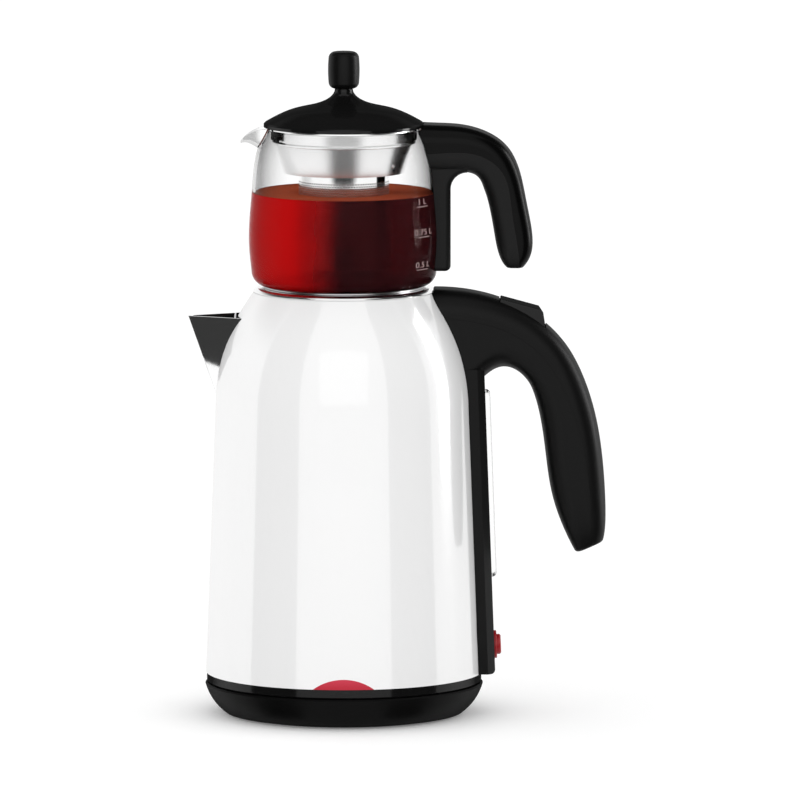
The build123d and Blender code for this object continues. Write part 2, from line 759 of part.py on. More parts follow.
led_y = shell_foot_r - shell_wall - lamp_gap
with BuildPart() as indicator_lamp:
    with BuildSketch(Plane.XY.offset(shell_foot_z)):
        with Locations((0, lamp_board[1] / 2 - led_y)):
            Rectangle(*lamp_board)
    extrude(amount=window_h)
    with BuildSketch(Plane.XZ.offset(led_y)):
        with Locations((-led_spread, shell_foot_z + window_h / 2),
                       (led_spread, shell_foot_z + window_h / 2)):
            Circle(led_r)
    extrude(amount=led_l)
indicator_lamp.part.label = "indicator_lamp"
export_step(indicator_lamp.part, "parts/indicator_lamp.step")

with BuildPart() as inner_pot:
    add(pot_outside)
    add(pot_inside, mode=Mode.SUBTRACT)
    add(beak_inside, mode=Mode.SUBTRACT)
    with BuildSketch(Plane.YZ.offset(pot_mouth_r)):
        with Locations(*[(0, z) for z in gauge_tube_zs]):
            Circle(gauge_tube_r)
        with Locations((0, steam_tube_z)):
            Circle(steam_tube_r)
    extrude(amount=shell_foot_r, mode=Mode.SUBTRACT)
inner_pot.part.label = "inner_pot"
export_step(inner_pot.part, "parts/inner_pot.step")

with BuildPart() as pot_seal:
    with BuildSketch(Plane.XY.offset(mouth_z - seal_drop - seal_h)):
        Circle(shell_shoulder_r)
    extrude(amount=seal_h)
    add(shell_inside, mode=Mode.INTERSECT)
    add(pot_outside, mode=Mode.SUBTRACT)
pot_seal.part.label = "pot_seal"
export_step(pot_seal.part, "parts/pot_seal.step")

ring_r = shell_mouth_r + ring_overhang
with BuildPart() as mouth_ring:
    with BuildSketch(Plane.XZ):
        with BuildLine():
            Polyline((ring_bore_r, mouth_z), (ring_r - ring_edge, mouth_z),
                     (ring_r, mouth_z + ring_edge))
            RadiusArc((ring_r, mouth_z + ring_edge), (ring_r - ring_crown_w, ring_top_z),
                      -ring_crown_r)
            Polyline((ring_r - ring_crown_w, ring_top_z), (ring_bore_r, ring_top_z),
                     (ring_bore_r, mouth_z))
        make_face()
    revolve(axis=Axis.Z)
mouth_ring.part.label = "mouth_ring"
export_step(mouth_ring.part, "parts/mouth_ring.step")

with BuildPart() as steam_lid:
    with BuildSketch(Plane.XZ):
        with BuildLine():
            Polyline(
                (0, steam_lid_z - steam_lid_depth), (plug_r, steam_lid_z - steam_lid_depth),
                (plug_r, steam_lid_z), (steam_lid_flange_r, steam_lid_z),
                (steam_lid_flange_r, steam_lid_z + lid_sheet),
                (plug_r - lid_sheet, steam_lid_z + lid_sheet),
                (plug_r - lid_sheet, steam_lid_z - steam_lid_depth + lid_sheet),
                (0, steam_lid_z - steam_lid_depth + lid_sheet), close=True,
            )
        make_face()
    revolve(axis=Axis.Z)
    with BuildSketch(Plane.XY.offset(steam_lid_z - steam_lid_depth)):
        with PolarLocations(steam_hole_ring_r, steam_hole_count):
            Circle(steam_hole_r)
        Circle(steam_hole_r)
    extrude(amount=lid_sheet, mode=Mode.SUBTRACT)
steam_lid.part.label = "steam_lid"
export_step(steam_lid.part, "parts/steam_lid.step")

with BuildPart() as steam_lid_grip:
    with BuildSketch(Plane.XY.offset(steam_lid_z - steam_lid_depth + lid_sheet)):
        Circle(grip_r)
        Circle(steam_hole_r, mode=Mode.SUBTRACT)
    extrude(amount=steam_lid_depth - 2 * lid_sheet)
    fillet(steam_lid_grip.edges().group_by(Axis.Z)[-1].sort_by(SortBy.LENGTH)[-1], grip_round)
steam_lid_grip.part.label = "steam_lid_grip"
export_step(steam_lid_grip.part, "parts/steam_lid_grip.step")


# ---- kettle: spout ----

spout_rim_z = mouth_z - spout_drop
with BuildPart() as spout_roof:
    with BuildSketch(Plane.XY.offset(spout_rim_z - spout_sheet)):
        Circle(shell_shoulder_r)
    extrude(amount=spout_sheet)
    add(shell_inside, mode=Mode.INTERSECT)
    add(beak_outside, mode=Mode.INTERSECT)

with BuildPart() as spout:
    add(beak_outside)
    add(beak_inside, mode=Mode.SUBTRACT)
    add(spout_roof.part)
    add(pot_outside, mode=Mode.SUBTRACT)
spout.part.label = "spout"
export_step(spout.part, "parts/spout.step")

with BuildPart() as spout_filter:
    with BuildSketch(Plane.YZ.offset(-filter_x)):
        with Locations((0, spout_rim_z - spout_h / 2)):
            Rectangle(2 * spout_half_w, spout_h)
    extrude(amount=-spout_sheet)
    add(beak_inside, mode=Mode.INTERSECT)
    add(spout_roof.part, mode=Mode.SUBTRACT)
    with BuildSketch(Plane.YZ.offset(-filter_x)):
        with Locations((0, spout_rim_z - filter_drop)):
            with GridLocations(filter_pitch, filter_pitch, *filter_grid):
                Circle(filter_hole_r)
    extrude(amount=-spout_sheet, mode=Mode.SUBTRACT)
spout_filter.part.label = "spout_filter"
export_step(spout_filter.part, "parts/spout_filter.step")


# ---- kettle: back plate, gauge and push-button ----

kettle_handle_inside = handle_body(kettle_handle[:-1], shell_shoulder_r, mouth_z,
                                   kettle_handle_round, kettle_handle_wall)
kettle_seam_side = seam_side(kettle_seam, shell_shoulder_r, mouth_z, 2 * back_half_w)
back_top_z = mouth_z - back_top_drop
with BuildPart() as back_plate:
    for z in (shell_foot_z + back_lift, back_top_z):
        depth = 0.5 * wall_r(z) + back_stand
        with BuildSketch(Plane.XY.offset(z)) as back_plate_outline:
            with Locations((wall_r(z) + back_stand - depth / 2, 0)):
                Rectangle(depth, 2 * back_half_w)
            chamfer(back_plate_outline.vertices().group_by(Axis.X)[-1], back_facet)
    loft(ruled=True)
    fillet(back_plate.faces().sort_by(Axis.Z)[0].edges().sort_by(Axis.X)[-1], back_foot_round)
    add(shell_outside, mode=Mode.SUBTRACT)
    add(kettle_handle_outside, mode=Mode.SUBTRACT)
    with BuildSketch(button_plane):
        Circle(button_r + button_play)
    extrude(amount=-2 * back_stand, mode=Mode.SUBTRACT)
    with BuildSketch(Plane.YZ.offset(shell_mouth_r)):
        with Locations(*[(0, z) for z in gauge_tube_zs]):
            Circle(gauge_tube_r)
    extrude(amount=shell_foot_r, mode=Mode.SUBTRACT)
    add(back_screws.part, mode=Mode.SUBTRACT)
back_plate.part.label = "back_plate"
export_step(back_plate.part, "parts/back_plate.step")

gauge_plane = back_face(shell_foot_z + gauge_foot_h + gauge_h / 2)
with BuildPart() as gauge_window:
    with BuildSketch(gauge_plane):
        SlotOverall(gauge_h, gauge_w, rotation=90)
    extrude(amount=gauge_stand)
    fillet(outermost(gauge_window, gauge_plane).edges(), gauge_round)
    with BuildSketch(gauge_plane):
        SlotOverall(gauge_h - 2 * gauge_wall, gauge_w - 2 * gauge_wall, rotation=90)
    extrude(amount=gauge_stand - gauge_wall, mode=Mode.SUBTRACT)
gauge_window.part.label = "gauge_window"
export_step(gauge_window.part, "parts/gauge_window.step")

with BuildPart() as gauge_tubes:
    for z in gauge_tube_zs:
        with BuildSketch(Plane.YZ.offset(wall_r(z) - pot_inset - pot_wall)):
            with Locations((0, z)):
                Circle(gauge_tube_r)
                Circle(gauge_tube_bore, mode=Mode.SUBTRACT)
        extrude(amount=pot_inset + pot_wall + back_stand - gauge_tube_r * sin(wall_lean))
gauge_tubes.part.label = "gauge_tubes"
export_step(gauge_tubes.part, "parts/gauge_tubes.step")

with BuildPart() as button_bezel:
    with BuildSketch(button_plane):
        Circle(button_r + button_play + bezel_w)
        Circle(button_r + button_play, mode=Mode.SUBTRACT)
    extrude(amount=bezel_stand)
    fillet(outermost(button_bezel, button_plane).edges(), bezel_round)
button_bezel.part.label = "button_bezel"
export_step(button_bezel.part, "parts/button_bezel.step")

cap_under = button_stand - button_cap_t
with BuildPart() as push_button:
    with BuildSketch(button_plane.offset(cap_under)):
        Circle(button_r)
    extrude(amount=button_cap_t)
    fillet(outermost(push_button, button_plane).edges(), button_round)
    with BuildSketch(button_plane.offset(cap_under)):
        Circle(button_stem_r)
    extrude(amount=stem_gap - back_stand - cap_under)
push_button.part.label = "push_button"
export_step(push_button.part, "parts/push_button.step")

spring_r = (button_r + button_stem_r) / 2
spring_h = back_stand + cap_under - 2 * spring_gap - 2 * spring_wire_r
with BuildPart() as button_spring:
    with BuildLine():
        coil = Helix(pitch=spring_h / spring_turns, height=spring_h, radius=spring_r,
                     center=button_plane.offset(cap_under - spring_gap - spring_wire_r).origin,
                     direction=-button_plane.z_dir)
    with BuildSketch(Plane(coil @ 0, z_dir=coil % 0)):
        Circle(spring_wire_r)
    sweep(is_frenet=True)
button_spring.part.label = "button_spring"
export_step(button_spring.part, "parts/button_spring.step")

with BuildPart() as light_switch:
    with BuildSketch(Plane.YZ.offset(shell_foot_r)):
        with Locations((0, button_plane.origin.Z)):
            Rectangle(light_switch_size[1], light_switch_size[2])
    extrude(amount=-light_switch_size[0])
    add(shell_inside, mode=Mode.INTERSECT)
    add(pot_outside, mode=Mode.SUBTRACT)
light_switch.part.label = "light_switch"
export_step(light_switch.part, "parts/light_switch.step")


# ---- kettle: handle and boil switch ----

pin_place = (shell_shoulder_r + paddle_pin[0], mouth_z + paddle_pin[1])


def paddle_outline(gap, turn):
    """Sketch of the paddle grown by a gap and turned about its pin."""
    with BuildSketch(Plane.XZ) as outline:
        with BuildLine():
            Polyline(*[(shell_shoulder_r + x, mouth_z + z) for x, z in paddle_profile],
                     close=True)
        make_face()
        if gap:
            offset(amount=gap)
    return outline.sketch.rotate(Axis((pin_place[0], 0, pin_place[1]), (0, 1, 0)), turn)


with BuildPart() as switch_paddle:
    extrude(paddle_outline(0, 0), amount=paddle_half_w, both=True)
    fillet(switch_paddle.faces().sort_by(Axis.Z)[-1].edges(), paddle_round)
    with BuildSketch(Plane.XZ):
        with Locations(pin_place):
            Circle(paddle_pin_r + pin_play)
    extrude(amount=2 * paddle_half_w, both=True, mode=Mode.SUBTRACT)
switch_paddle.part.label = "switch_paddle"
export_step(switch_paddle.part, "parts/switch_paddle.step")

ear_out = paddle_half_w + switch_gap + ear_t
with BuildPart() as switch_pin:
    with BuildSketch(Plane.XZ):
        with Locations(pin_place):
            Circle(paddle_pin_r)
    extrude(amount=ear_out, both=True)
switch_pin.part.label = "switch_pin"
export_step(switch_pin.part, "parts/switch_pin.step")

with BuildPart() as switch_pocket:
    for step in range(sweep_steps + 1):
        extrude(paddle_outline(switch_gap, paddle_turn * step / sweep_steps),
                amount=paddle_half_w + switch_gap, both=True)

with BuildPart() as switch_ears:
    with BuildSketch(Plane.XZ):
        with Locations((pin_place[0], pin_place[1] + ear_r)):
            Rectangle(2 * ear_r, 4 * ear_r)
    extrude(amount=ear_out, both=True)
    with BuildSketch(Plane.XZ):
        with Locations((pin_place[0], pin_place[1] + ear_r)):
            Rectangle(4 * ear_r, 8 * ear_r)
    extrude(amount=ear_out - ear_t, both=True, mode=Mode.SUBTRACT)
    add(kettle_handle_outer, mode=Mode.INTERSECT)

with BuildPart() as mouth_clear:
    with BuildSketch(Plane.XY.offset(mouth_z)):
        Circle(ring_r + lift_gap)
    extrude(amount=4 * ring_h)

with BuildPart() as handle_shell:
    add(kettle_handle_outer)
    add(kettle_seam_side, mode=Mode.INTERSECT)
    add(kettle_handle_inside, mode=Mode.SUBTRACT)
    add(switch_ears.part)
    add(switch_pocket.part, mode=Mode.SUBTRACT)
    add(switch_pin.part, mode=Mode.SUBTRACT)
    add(shell_skin, mode=Mode.SUBTRACT)
    add(mouth_clear.part, mode=Mode.SUBTRACT)
handle_shell.part.label = "handle_shell"
export_step(handle_shell.part, "parts/handle_shell.step")

with BuildPart() as handle_grip:
    add(kettle_handle_outside)
    add(kettle_seam_side, mode=Mode.SUBTRACT)
    add(kettle_handle_inside, mode=Mode.SUBTRACT)
    add(shell_skin, mode=Mode.SUBTRACT)
handle_grip.part.label = "handle_grip"
export_step(handle_grip.part, "parts/handle_grip.step")

with BuildPart() as boil_switch:
    with BuildSketch(Plane.XZ):
        with Locations((thermostat_x + thermostat_l / 2,
                        mouth_z - thermostat_drop - thermostat_h)):
            Rectangle(thermostat_l, 2 * thermostat_h)
    extrude(amount=paddle_half_w, both=True)
    add(kettle_handle_inside, mode=Mode.INTERSECT)
boil_switch.part.label = "boil_switch"
export_step(boil_switch.part, "parts/boil_switch.step")

with BuildPart() as steam_tube:
    with BuildSketch(Plane.YZ.offset(thermostat_x)):
        with Locations((0, steam_tube_z)):
            Circle(steam_tube_r)
            Circle(steam_tube_bore, mode=Mode.SUBTRACT)
    extrude(amount=-(thermostat_x - pot_mouth_r))
    add(pot_inside, mode=Mode.SUBTRACT)
steam_tube.part.label = "steam_tube"
export_step(steam_tube.part, "parts/steam_tube.step")


# ---- glass teapot ----

def on_arch(edge):
    """Whether an edge of the bracket runs along its outer face or the arch."""
    box = edge.bounding_box()
    return (box.min.X > bracket_x - bond_gap and box.max.Z < arch_z + bond_gap
            and box.size.Y < bond_gap)



def lip_form(sheet=0.0):
    """Trough of the pouring lip, open upwards, this far inside its skin."""
    with BuildPart() as body:
        for out, half_w, _, depth in pour_lip:
            x = jug_rim_r + out - (sheet if out > 0 else 0)
            with BuildSketch(Plane.YZ.offset(-x)):
                with Locations((0, jug_rim_z + (lip_over - depth + sheet) / 2)):
                    RectangleRounded(2 * (half_w - sheet), lip_over + depth - sheet,
                                     lip_corner * (half_w - sheet))
        loft()
    return body.part


with BuildPart() as lip_sky:
    with BuildSketch(Plane.XZ):
        with BuildLine():
            brow = Spline(*[(-jug_rim_r - out, jug_rim_z - drop) for out, _, drop, _ in pour_lip])
            far_x = -jug_rim_r - pour_lip[-1][0] - lip_cut[0]
            sky_z = jug_rim_z + lip_cut[1]
            Polyline(brow @ 1, (far_x, jug_rim_z - pour_lip[-1][2]), (far_x, sky_z),
                     (-jug_rim_r - pour_lip[0][0], sky_z), brow @ 0)
        make_face()
    extrude(amount=2 * pour_lip[0][1], both=True)

with BuildPart() as glass_jug:
    add(glass_outside)
    add(glass_inside, mode=Mode.SUBTRACT)
    fillet(glass_jug.edges().group_by(Axis.Z)[-1], jug_rim_round)
    add(lip_form() - lip_sky.part - glass_inside)
    add(lip_form(lip_wall), mode=Mode.SUBTRACT)
glass_jug.part.label = "glass_jug"
export_step(glass_jug.part, "parts/glass_jug.step")

teapot_handle_inside = handle_body(teapot_handle[:-1], jug_belly_r, jug_rim_z,
                                   teapot_handle_round, teapot_handle_wall)
teapot_seam_side = seam_side(teapot_seam, jug_belly_r, jug_rim_z, 2 * back_half_w)
with BuildPart() as lid_clear:
    with BuildSketch(Plane.XY.offset(jug_rim_z)):
        Circle(lid_r + lift_gap)
    extrude(amount=3 * lid_h)

bracket_foot_z = jug_foot_z + bracket_foot_h
arch_z = jug_rim_z + teapot_handle[2][1][1]
bracket_top_z = arch_z + bracket_lap
with BuildPart() as bracket:
    with BuildSketch(Plane.XZ):
        with BuildLine():
            Polyline((bracket_x, bracket_foot_z), (bracket_x - bracket_l, bracket_foot_z),
                     (bracket_x - bracket_l, bracket_top_z), (bracket_x + arch_r, bracket_top_z),
                     (bracket_x + arch_r, arch_z))
            RadiusArc((bracket_x + arch_r, arch_z), (bracket_x, arch_z - arch_r), -arch_r)
            Line((bracket_x, arch_z - arch_r), (bracket_x, bracket_foot_z))
        make_face()
    extrude(amount=bracket_half_w, both=True)
    fillet(bracket.edges().filter_by(on_arch), bracket_round)
    fillet(bracket.faces().sort_by(Axis.Z)[0].edges(), bracket_foot_round)

with BuildPart() as teapot_handle_shell:
    add(teapot_handle_outer)
    add(teapot_seam_side, mode=Mode.INTERSECT)
    add(teapot_handle_inside, mode=Mode.SUBTRACT)
    add(lid_clear.part, mode=Mode.SUBTRACT)
    add(glass_outside, mode=Mode.SUBTRACT)
teapot_handle_shell.part.label = "teapot_handle_shell"
export_step(teapot_handle_shell.part, "parts/teapot_handle_shell.step")

with BuildPart() as teapot_handle_grip:
    add(teapot_handle_outside)
    add(teapot_seam_side, mode=Mode.SUBTRACT)
    add(teapot_handle_inside, mode=Mode.SUBTRACT)
    add(bracket.part)
    add(lid_clear.part, mode=Mode.SUBTRACT)
    add(glass_outside, mode=Mode.SUBTRACT)
teapot_handle_grip.part.label = "teapot_handle_grip"
export_step(teapot_handle_grip.part, "parts/teapot_handle_grip.step")


# ---- infuser ----

bead_z = infuser_rim_z - infuser_bead_drop
waist_z = infuser_rim_z - infuser_waist_drop
sheet = infuser_sheet
with BuildPart() as notches:
    with BuildSketch(Plane.XY.offset(infuser_rim_z - infuser_sheet)):
        Rectangle(4 * lid_r, 2 * (tab_half_w + notch_play))
        Circle(infuser_cup_r, mode=Mode.SUBTRACT)
    extrude(amount=3 * infuser_sheet)

with BuildPart() as infuser_cup:
    with BuildSketch(Plane.XZ):
        with BuildLine():
            Polyline(
                (infuser_rim_r, infuser_rim_z), (infuser_cup_r, infuser_rim_z),
                (infuser_cup_r, bead_z + infuser_bead_h / 2),
                (infuser_bead_r, bead_z + infuser_bead_flat / 2),
                (infuser_bead_r, bead_z - infuser_bead_flat / 2),
                (infuser_cup_r, bead_z - infuser_bead_h / 2),
                (infuser_waist_r, waist_z), (sleeve_r, waist_z), (sleeve_r, waist_z + sheet),
                (infuser_waist_r - sheet, waist_z + sheet),
                (infuser_cup_r - sheet, bead_z - infuser_bead_h / 2),
                (infuser_cup_r - sheet, infuser_rim_z + sheet),
                (infuser_rim_r, infuser_rim_z + sheet), close=True,
            )
        make_face()
    revolve(axis=Axis.Z)
    add(notches.part, mode=Mode.SUBTRACT)
    vent = radians(vent_turn)
    with BuildSketch(Plane((0, 0, waist_z + vent_h), x_dir=(-sin(vent), cos(vent), 0),
                           z_dir=(cos(vent), sin(vent), 0))):
        Circle(vent_r)
    extrude(amount=infuser_cup_r, mode=Mode.SUBTRACT)
infuser_cup.part.label = "infuser_cup"
export_step(infuser_cup.part, "parts/infuser_cup.step")

sleeve_foot_z = waist_z + sheet - sleeve_h
with BuildPart() as infuser_sieve:
    with BuildSketch(Plane.XY.offset(sleeve_foot_z)):
        Circle(sleeve_r)
    extrude(amount=sleeve_h)
    with BuildSketch(Plane.XY.offset(sleeve_foot_z + sheet)):
        Circle(sleeve_r - sheet)
    extrude(amount=sleeve_h, mode=Mode.SUBTRACT)
    sieve_pitch = (sleeve_h - 2 * sieve_margin) / sieve_rows
    for column in range(sieve_columns // 2):
        turn = radians(column * 360 / sieve_columns)
        middle_z = sleeve_foot_z + sleeve_h / 2 + (column % 2 - 0.5) * sieve_pitch / 2
        with BuildSketch(Plane((0, 0, middle_z), x_dir=(-sin(turn), cos(turn), 0),
                               z_dir=(cos(turn), sin(turn), 0))):
            with GridLocations(1, sieve_pitch, 1, sieve_rows):
                Circle(sieve_hole_r)
        extrude(amount=sleeve_r + 1, both=True, mode=Mode.SUBTRACT)
infuser_sieve.part.label = "infuser_sieve"
export_step(infuser_sieve.part, "parts/infuser_sieve.step")


# ---- teapot lid ----

screw_seat_z = lid_rim_z + screw_seat_part * lid_h - lid_wall
tab_foot_z = bead_z + infuser_bead_h / 2 + 2 * lift_gap
with BuildPart() as lid_tabs:
    with BuildSketch(Plane.XY.offset(tab_foot_z)):
        Circle(tab_r)
        Circle(tab_r - tab_t, mode=Mode.SUBTRACT)
        Rectangle(4 * tab_r, 2 * tab_half_w, mode=Mode.INTERSECT)
    extrude(amount=lid_rim_z + lid_rim_h + tab_root - tab_foot_z)

with BuildPart() as lid_dome:
    with BuildSketch(Plane.XZ):
        with BuildLine():
            Spline(
                (lid_r - lid_bevel, lid_rim_z + lid_rim_h + lid_bevel / 2),
                *[(part * lid_r, lid_rim_z + rise * lid_h) for part, rise in lid_curve],
                *[(lid_neck_r + out, lid_rim_z + rise * lid_h) for out, rise in neck_curve],
                (lid_neck_r, neck_top_z),
                tangents=[lid_slope, (0, 1)],
            )
            Polyline((lid_r - lid_bevel, lid_rim_z + lid_rim_h + lid_bevel / 2),
                     (lid_r, lid_rim_z + lid_rim_h - lid_bevel / 2),
                     (lid_r, lid_rim_z), (lid_r - lid_wall, lid_rim_z),
                     (lid_r - lid_wall - lid_inner_edge, lid_rim_z + lid_rim_h))
            Spline((lid_r - lid_wall - lid_inner_edge, lid_rim_z + lid_rim_h),
                   (lid_inner_curve[0] * lid_r,
                    lid_rim_z + lid_inner_curve[1] * lid_h - lid_wall),
                   (0, screw_seat_z), tangents=[lid_slope, (-1, 0)])
            Polyline((0, screw_seat_z), (0, neck_top_z), (lid_neck_r, neck_top_z))
        make_face()
    revolve(axis=Axis.Z)
    add(lid_tabs.part)
    with BuildSketch(Plane.XY.offset(lid_rim_z)):
        Circle(knob_thread_r)
    extrude(amount=lid_h, mode=Mode.SUBTRACT)
    with BuildSketch(Plane.XY.offset(screw_seat_z)):
        Circle(knob_head_r)
    extrude(amount=-knob_head_t, mode=Mode.SUBTRACT)
lid_dome.part.label = "lid_dome"
export_step(lid_dome.part, "parts/lid_dome.step")

with BuildPart() as knob_collar:
    with BuildSketch(Plane.XY.offset(neck_top_z)):
        Circle(lid_neck_r - collar_inset)
        Circle(knob_thread_r, mode=Mode.SUBTRACT)
    extrude(amount=knob_gap)
knob_collar.part.label = "knob_collar"
export_step(knob_collar.part, "parts/knob_collar.step")

knob_z = neck_top_z + knob_gap
with BuildPart() as lid_knob:
    with BuildSketch(Plane.XZ) as knob_half:
        with BuildLine():
            side = ThreePointArc((knob_r - knob_bulge, knob_z), (knob_r, knob_z + knob_h / 2),
                                 (knob_r - knob_bulge, knob_z + knob_h))
            Polyline(side @ 1, (0, knob_z + knob_h), (0, knob_z), side @ 0)
        make_face()
        fillet(knob_half.vertices().sort_by(Axis.X)[-2:], knob_round)
    revolve(axis=Axis.Z)
    with BuildSketch(Plane.XY.offset(knob_z)):
        Circle(knob_thread_r)
    extrude(amount=knob_h / 2, mode=Mode.SUBTRACT)
lid_knob.part.label = "lid_knob"
export_step(lid_knob.part, "parts/lid_knob.step")

with BuildPart() as knob_screw:
    with BuildSketch(Plane.XY.offset(screw_seat_z)):
        Circle(knob_head_r)
    extrude(amount=-knob_head_t)
    with BuildSketch(Plane.XY.offset(screw_seat_z)):
        Circle(knob_thread_r)
    extrude(amount=knob_z + knob_h / 2 - screw_seat_z)
knob_screw.part.label = "knob_screw"
export_step(knob_screw.part, "parts/knob_screw.step")
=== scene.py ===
import json
import math

import bmesh
import bpy
from mathutils import Matrix, Vector


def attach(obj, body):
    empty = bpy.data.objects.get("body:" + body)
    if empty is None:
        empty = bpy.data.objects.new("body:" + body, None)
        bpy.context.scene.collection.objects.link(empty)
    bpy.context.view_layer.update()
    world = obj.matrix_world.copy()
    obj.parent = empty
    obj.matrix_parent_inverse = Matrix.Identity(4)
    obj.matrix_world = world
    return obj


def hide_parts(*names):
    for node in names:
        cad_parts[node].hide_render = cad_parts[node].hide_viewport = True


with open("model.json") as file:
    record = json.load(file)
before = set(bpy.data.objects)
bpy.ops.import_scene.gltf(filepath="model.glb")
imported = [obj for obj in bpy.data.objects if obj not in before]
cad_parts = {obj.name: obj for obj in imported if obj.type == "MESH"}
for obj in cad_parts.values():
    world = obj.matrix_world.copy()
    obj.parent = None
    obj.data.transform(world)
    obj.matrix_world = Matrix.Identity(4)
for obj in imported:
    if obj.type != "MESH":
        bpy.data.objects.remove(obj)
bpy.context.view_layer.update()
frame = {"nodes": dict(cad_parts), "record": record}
nodes = frame["nodes"]
mm = 0.001
axisZ = (0, 0, 1)
weld = 0.01 * mm                 # points nearer than this are one
outside = 0.09                   # a radius in metres that is clear of teapot and infuser


# Shader maths: arithmetic on a wire adds its nodes

class Wire:
    def __init__(self, shader, socket):
        self.shader = shader
        self.socket = socket

    def math(self, operation, *values):
        return self.shader.math(operation, *values)

    def __add__(self, other):
        return self.math("ADD", self, other)

    def __radd__(self, other):
        return self.math("ADD", other, self)

    def __sub__(self, other):
        return self.math("SUBTRACT", self, other)

    def __rsub__(self, other):
        return self.math("SUBTRACT", other, self)

    def __mul__(self, other):
        return self.math("MULTIPLY", self, other)

    def __rmul__(self, other):
        return self.math("MULTIPLY", other, self)

    def __truediv__(self, other):
        return self.math("DIVIDE", self, other)

    def __rtruediv__(self, other):
        return self.math("DIVIDE", other, self)

    def __gt__(self, other):
        return self.math("GREATER_THAN", self, other)

    def __lt__(self, other):
        return self.math("LESS_THAN", self, other)

    def clamped(self):
        return self.math("MINIMUM", self.math("MAXIMUM", self, 0.0), 1.0)

    def smooth(self, low, high):
        # 0 below low, 1 above high, eased between
        settings = {"interpolation_type": "SMOOTHSTEP"}
        return self.shader.node("ShaderNodeMapRange", settings, [self, low, high, 0.0, 1.0])


class Shader:
    def __init__(self, tree):
        self.tree = tree
        tree.nodes.clear()

    def node(self, kind, settings=None, inputs=(), out=0):
        made = self.tree.nodes.new(kind)
        for key, value in (settings or {}).items():
            setattr(made, key, value)
        pairs = inputs.items() if isinstance(inputs, dict) else enumerate(inputs)
        for place, value in pairs:
            self.feed(made.inputs[place], value)
        return Wire(self, made.outputs[out]) if made.outputs else None

    def feed(self, socket, value):
        if isinstance(value, Wire):
            self.tree.links.new(value.socket, socket)
        else:
            socket.default_value = value

    def math(self, operation, *values):
        return self.node("ShaderNodeMath", {"operation": operation}, values)

    def place(self):
        return self.node("ShaderNodeTexCoord", out=3)

    def facing(self):
        # 0 where the surface faces the eye, 1 edge on
        return self.node("ShaderNodeLayerWeight", inputs={"Blend": 0.5}, out=1)

    def axes(self, vector):
        split = self.node("ShaderNodeSeparateXYZ", inputs=[vector]).socket.node
        return [Wire(self, split.outputs[i]) for i in range(3)]

    def noise(self, scale, detail, stretch=(1, 1, 1)):
        spot = self.node("ShaderNodeMapping", inputs={"Vector": self.place(), "Scale": stretch})
        inputs = {"Vector": spot, "Scale": scale, "Detail": detail}
        return self.node("ShaderNodeTexNoise", inputs=inputs)

    def blend(self, factor, first, second):
        inputs = {0: factor, 6: first, 7: second}
        return self.node("ShaderNodeMix", {"data_type": "RGBA"}, inputs, out=2)

    def bump(self, height, depth):
        inputs = {"Strength": 1.0, "Distance": depth, "Height": height}
        return self.node("ShaderNodeBump", inputs=inputs)


def rgb(value):
    return (value, value, value, 1)


def shades(tone, low, high):
    # a darker and a lighter shade of a colour given as three numbers
    return [(*[part * share for part in tone], 1) for share in (low, high)]


def newMaterial(name, build, dull=0.0, dullFrom=(0.5, 0.95), **fixed):
    # build(shader) gives what varies over the surface; fixed values go on the shader's own
    # sockets; dull takes away that share of the gloss where the surface is seen edge on
    material = bpy.data.materials.new(name)
    material.use_nodes = True
    shader = Shader(material.node_tree)
    inputs = {key.replace("_", " "): value for key, value in fixed.items()}
    inputs.update(build(shader))
    surface = shader.node("ShaderNodeBsdfPrincipled", inputs=inputs)
    if dull > 0:
        flat = shader.node("ShaderNodeBsdfDiffuse", inputs={"Color": inputs["Base Color"]})
        edge = shader.facing().smooth(*dullFrom) * dull
        surface = shader.node("ShaderNodeMixShader", inputs=[edge, surface, flat])
    shader.node("ShaderNodeOutputMaterial", inputs={"Surface": surface})
    return material


# Finishes

def moulded(name, tone, roughness, grain, grainDepth, **fixed):
    # moulded plastic: fine spark grain, a little uneven in tone and gloss
    def build(s):
        cloud = s.noise(18, 3)
        fine = s.noise(grain, 2)
        ends = shades(tone * 3, 0.85, 1.15) if len(tone) == 1 else shades(tone, 0.9, 1.08)
        rough = cloud * 0.08 + (roughness - 0.04) + fine * 0.04
        return {"Base Color": s.blend(cloud, *ends), "Roughness": rough,
                "Normal": s.bump(fine, grainDepth)}
    return newMaterial(name, build, **fixed)


def polished(name, tone, roughness, lines=900, depth=0.000004, **fixed):
    # metal turned and polished round the upright axis
    def build(s):
        turned = s.noise(1.0, 4, stretch=(6, 6, lines))
        cloud = s.noise(30, 2)
        rough = roughness + turned * 0.07 + cloud * 0.03
        return {"Base Color": s.blend(cloud, *shades(tone, 0.95, 1.0)), "Roughness": rough,
                "Normal": s.bump(turned, depth)}
    return newMaterial(name, build, Metallic=1.0, **fixed)


spoutLook = {
    "tone": 0.93,
    # the trough's inside is painted dark: painted shade
    "insideShadeTone": 0.012,
    "insideRough": 0.4,
    "root": -0.04,               # the spout's inside starts past this, in metres
    "facingIn": -0.00001,
}


def makeSpoutSteel():
    # polished outside; inside the trough, whose faces turn to its middle, painted dark as painted
    # shade and made rougher
    def build(s):
        x, y, z = s.axes(s.place())
        normal = s.node("ShaderNodeTexCoord", out=1)
        across, along, up = s.axes(normal)
        inside = (along * y < spoutLook["facingIn"]) * (x < spoutLook["root"])
        brush = s.noise(1.0, 4, stretch=(6, 6, 900))
        return {"Base Color": s.blend(inside, rgb(spoutLook["tone"]), rgb(spoutLook["insideShadeTone"])),
                "Roughness": brush * 0.05 + 0.06 + inside * spoutLook["insideRough"]}
    return newMaterial("spoutSteel", build, Metallic=1.0)


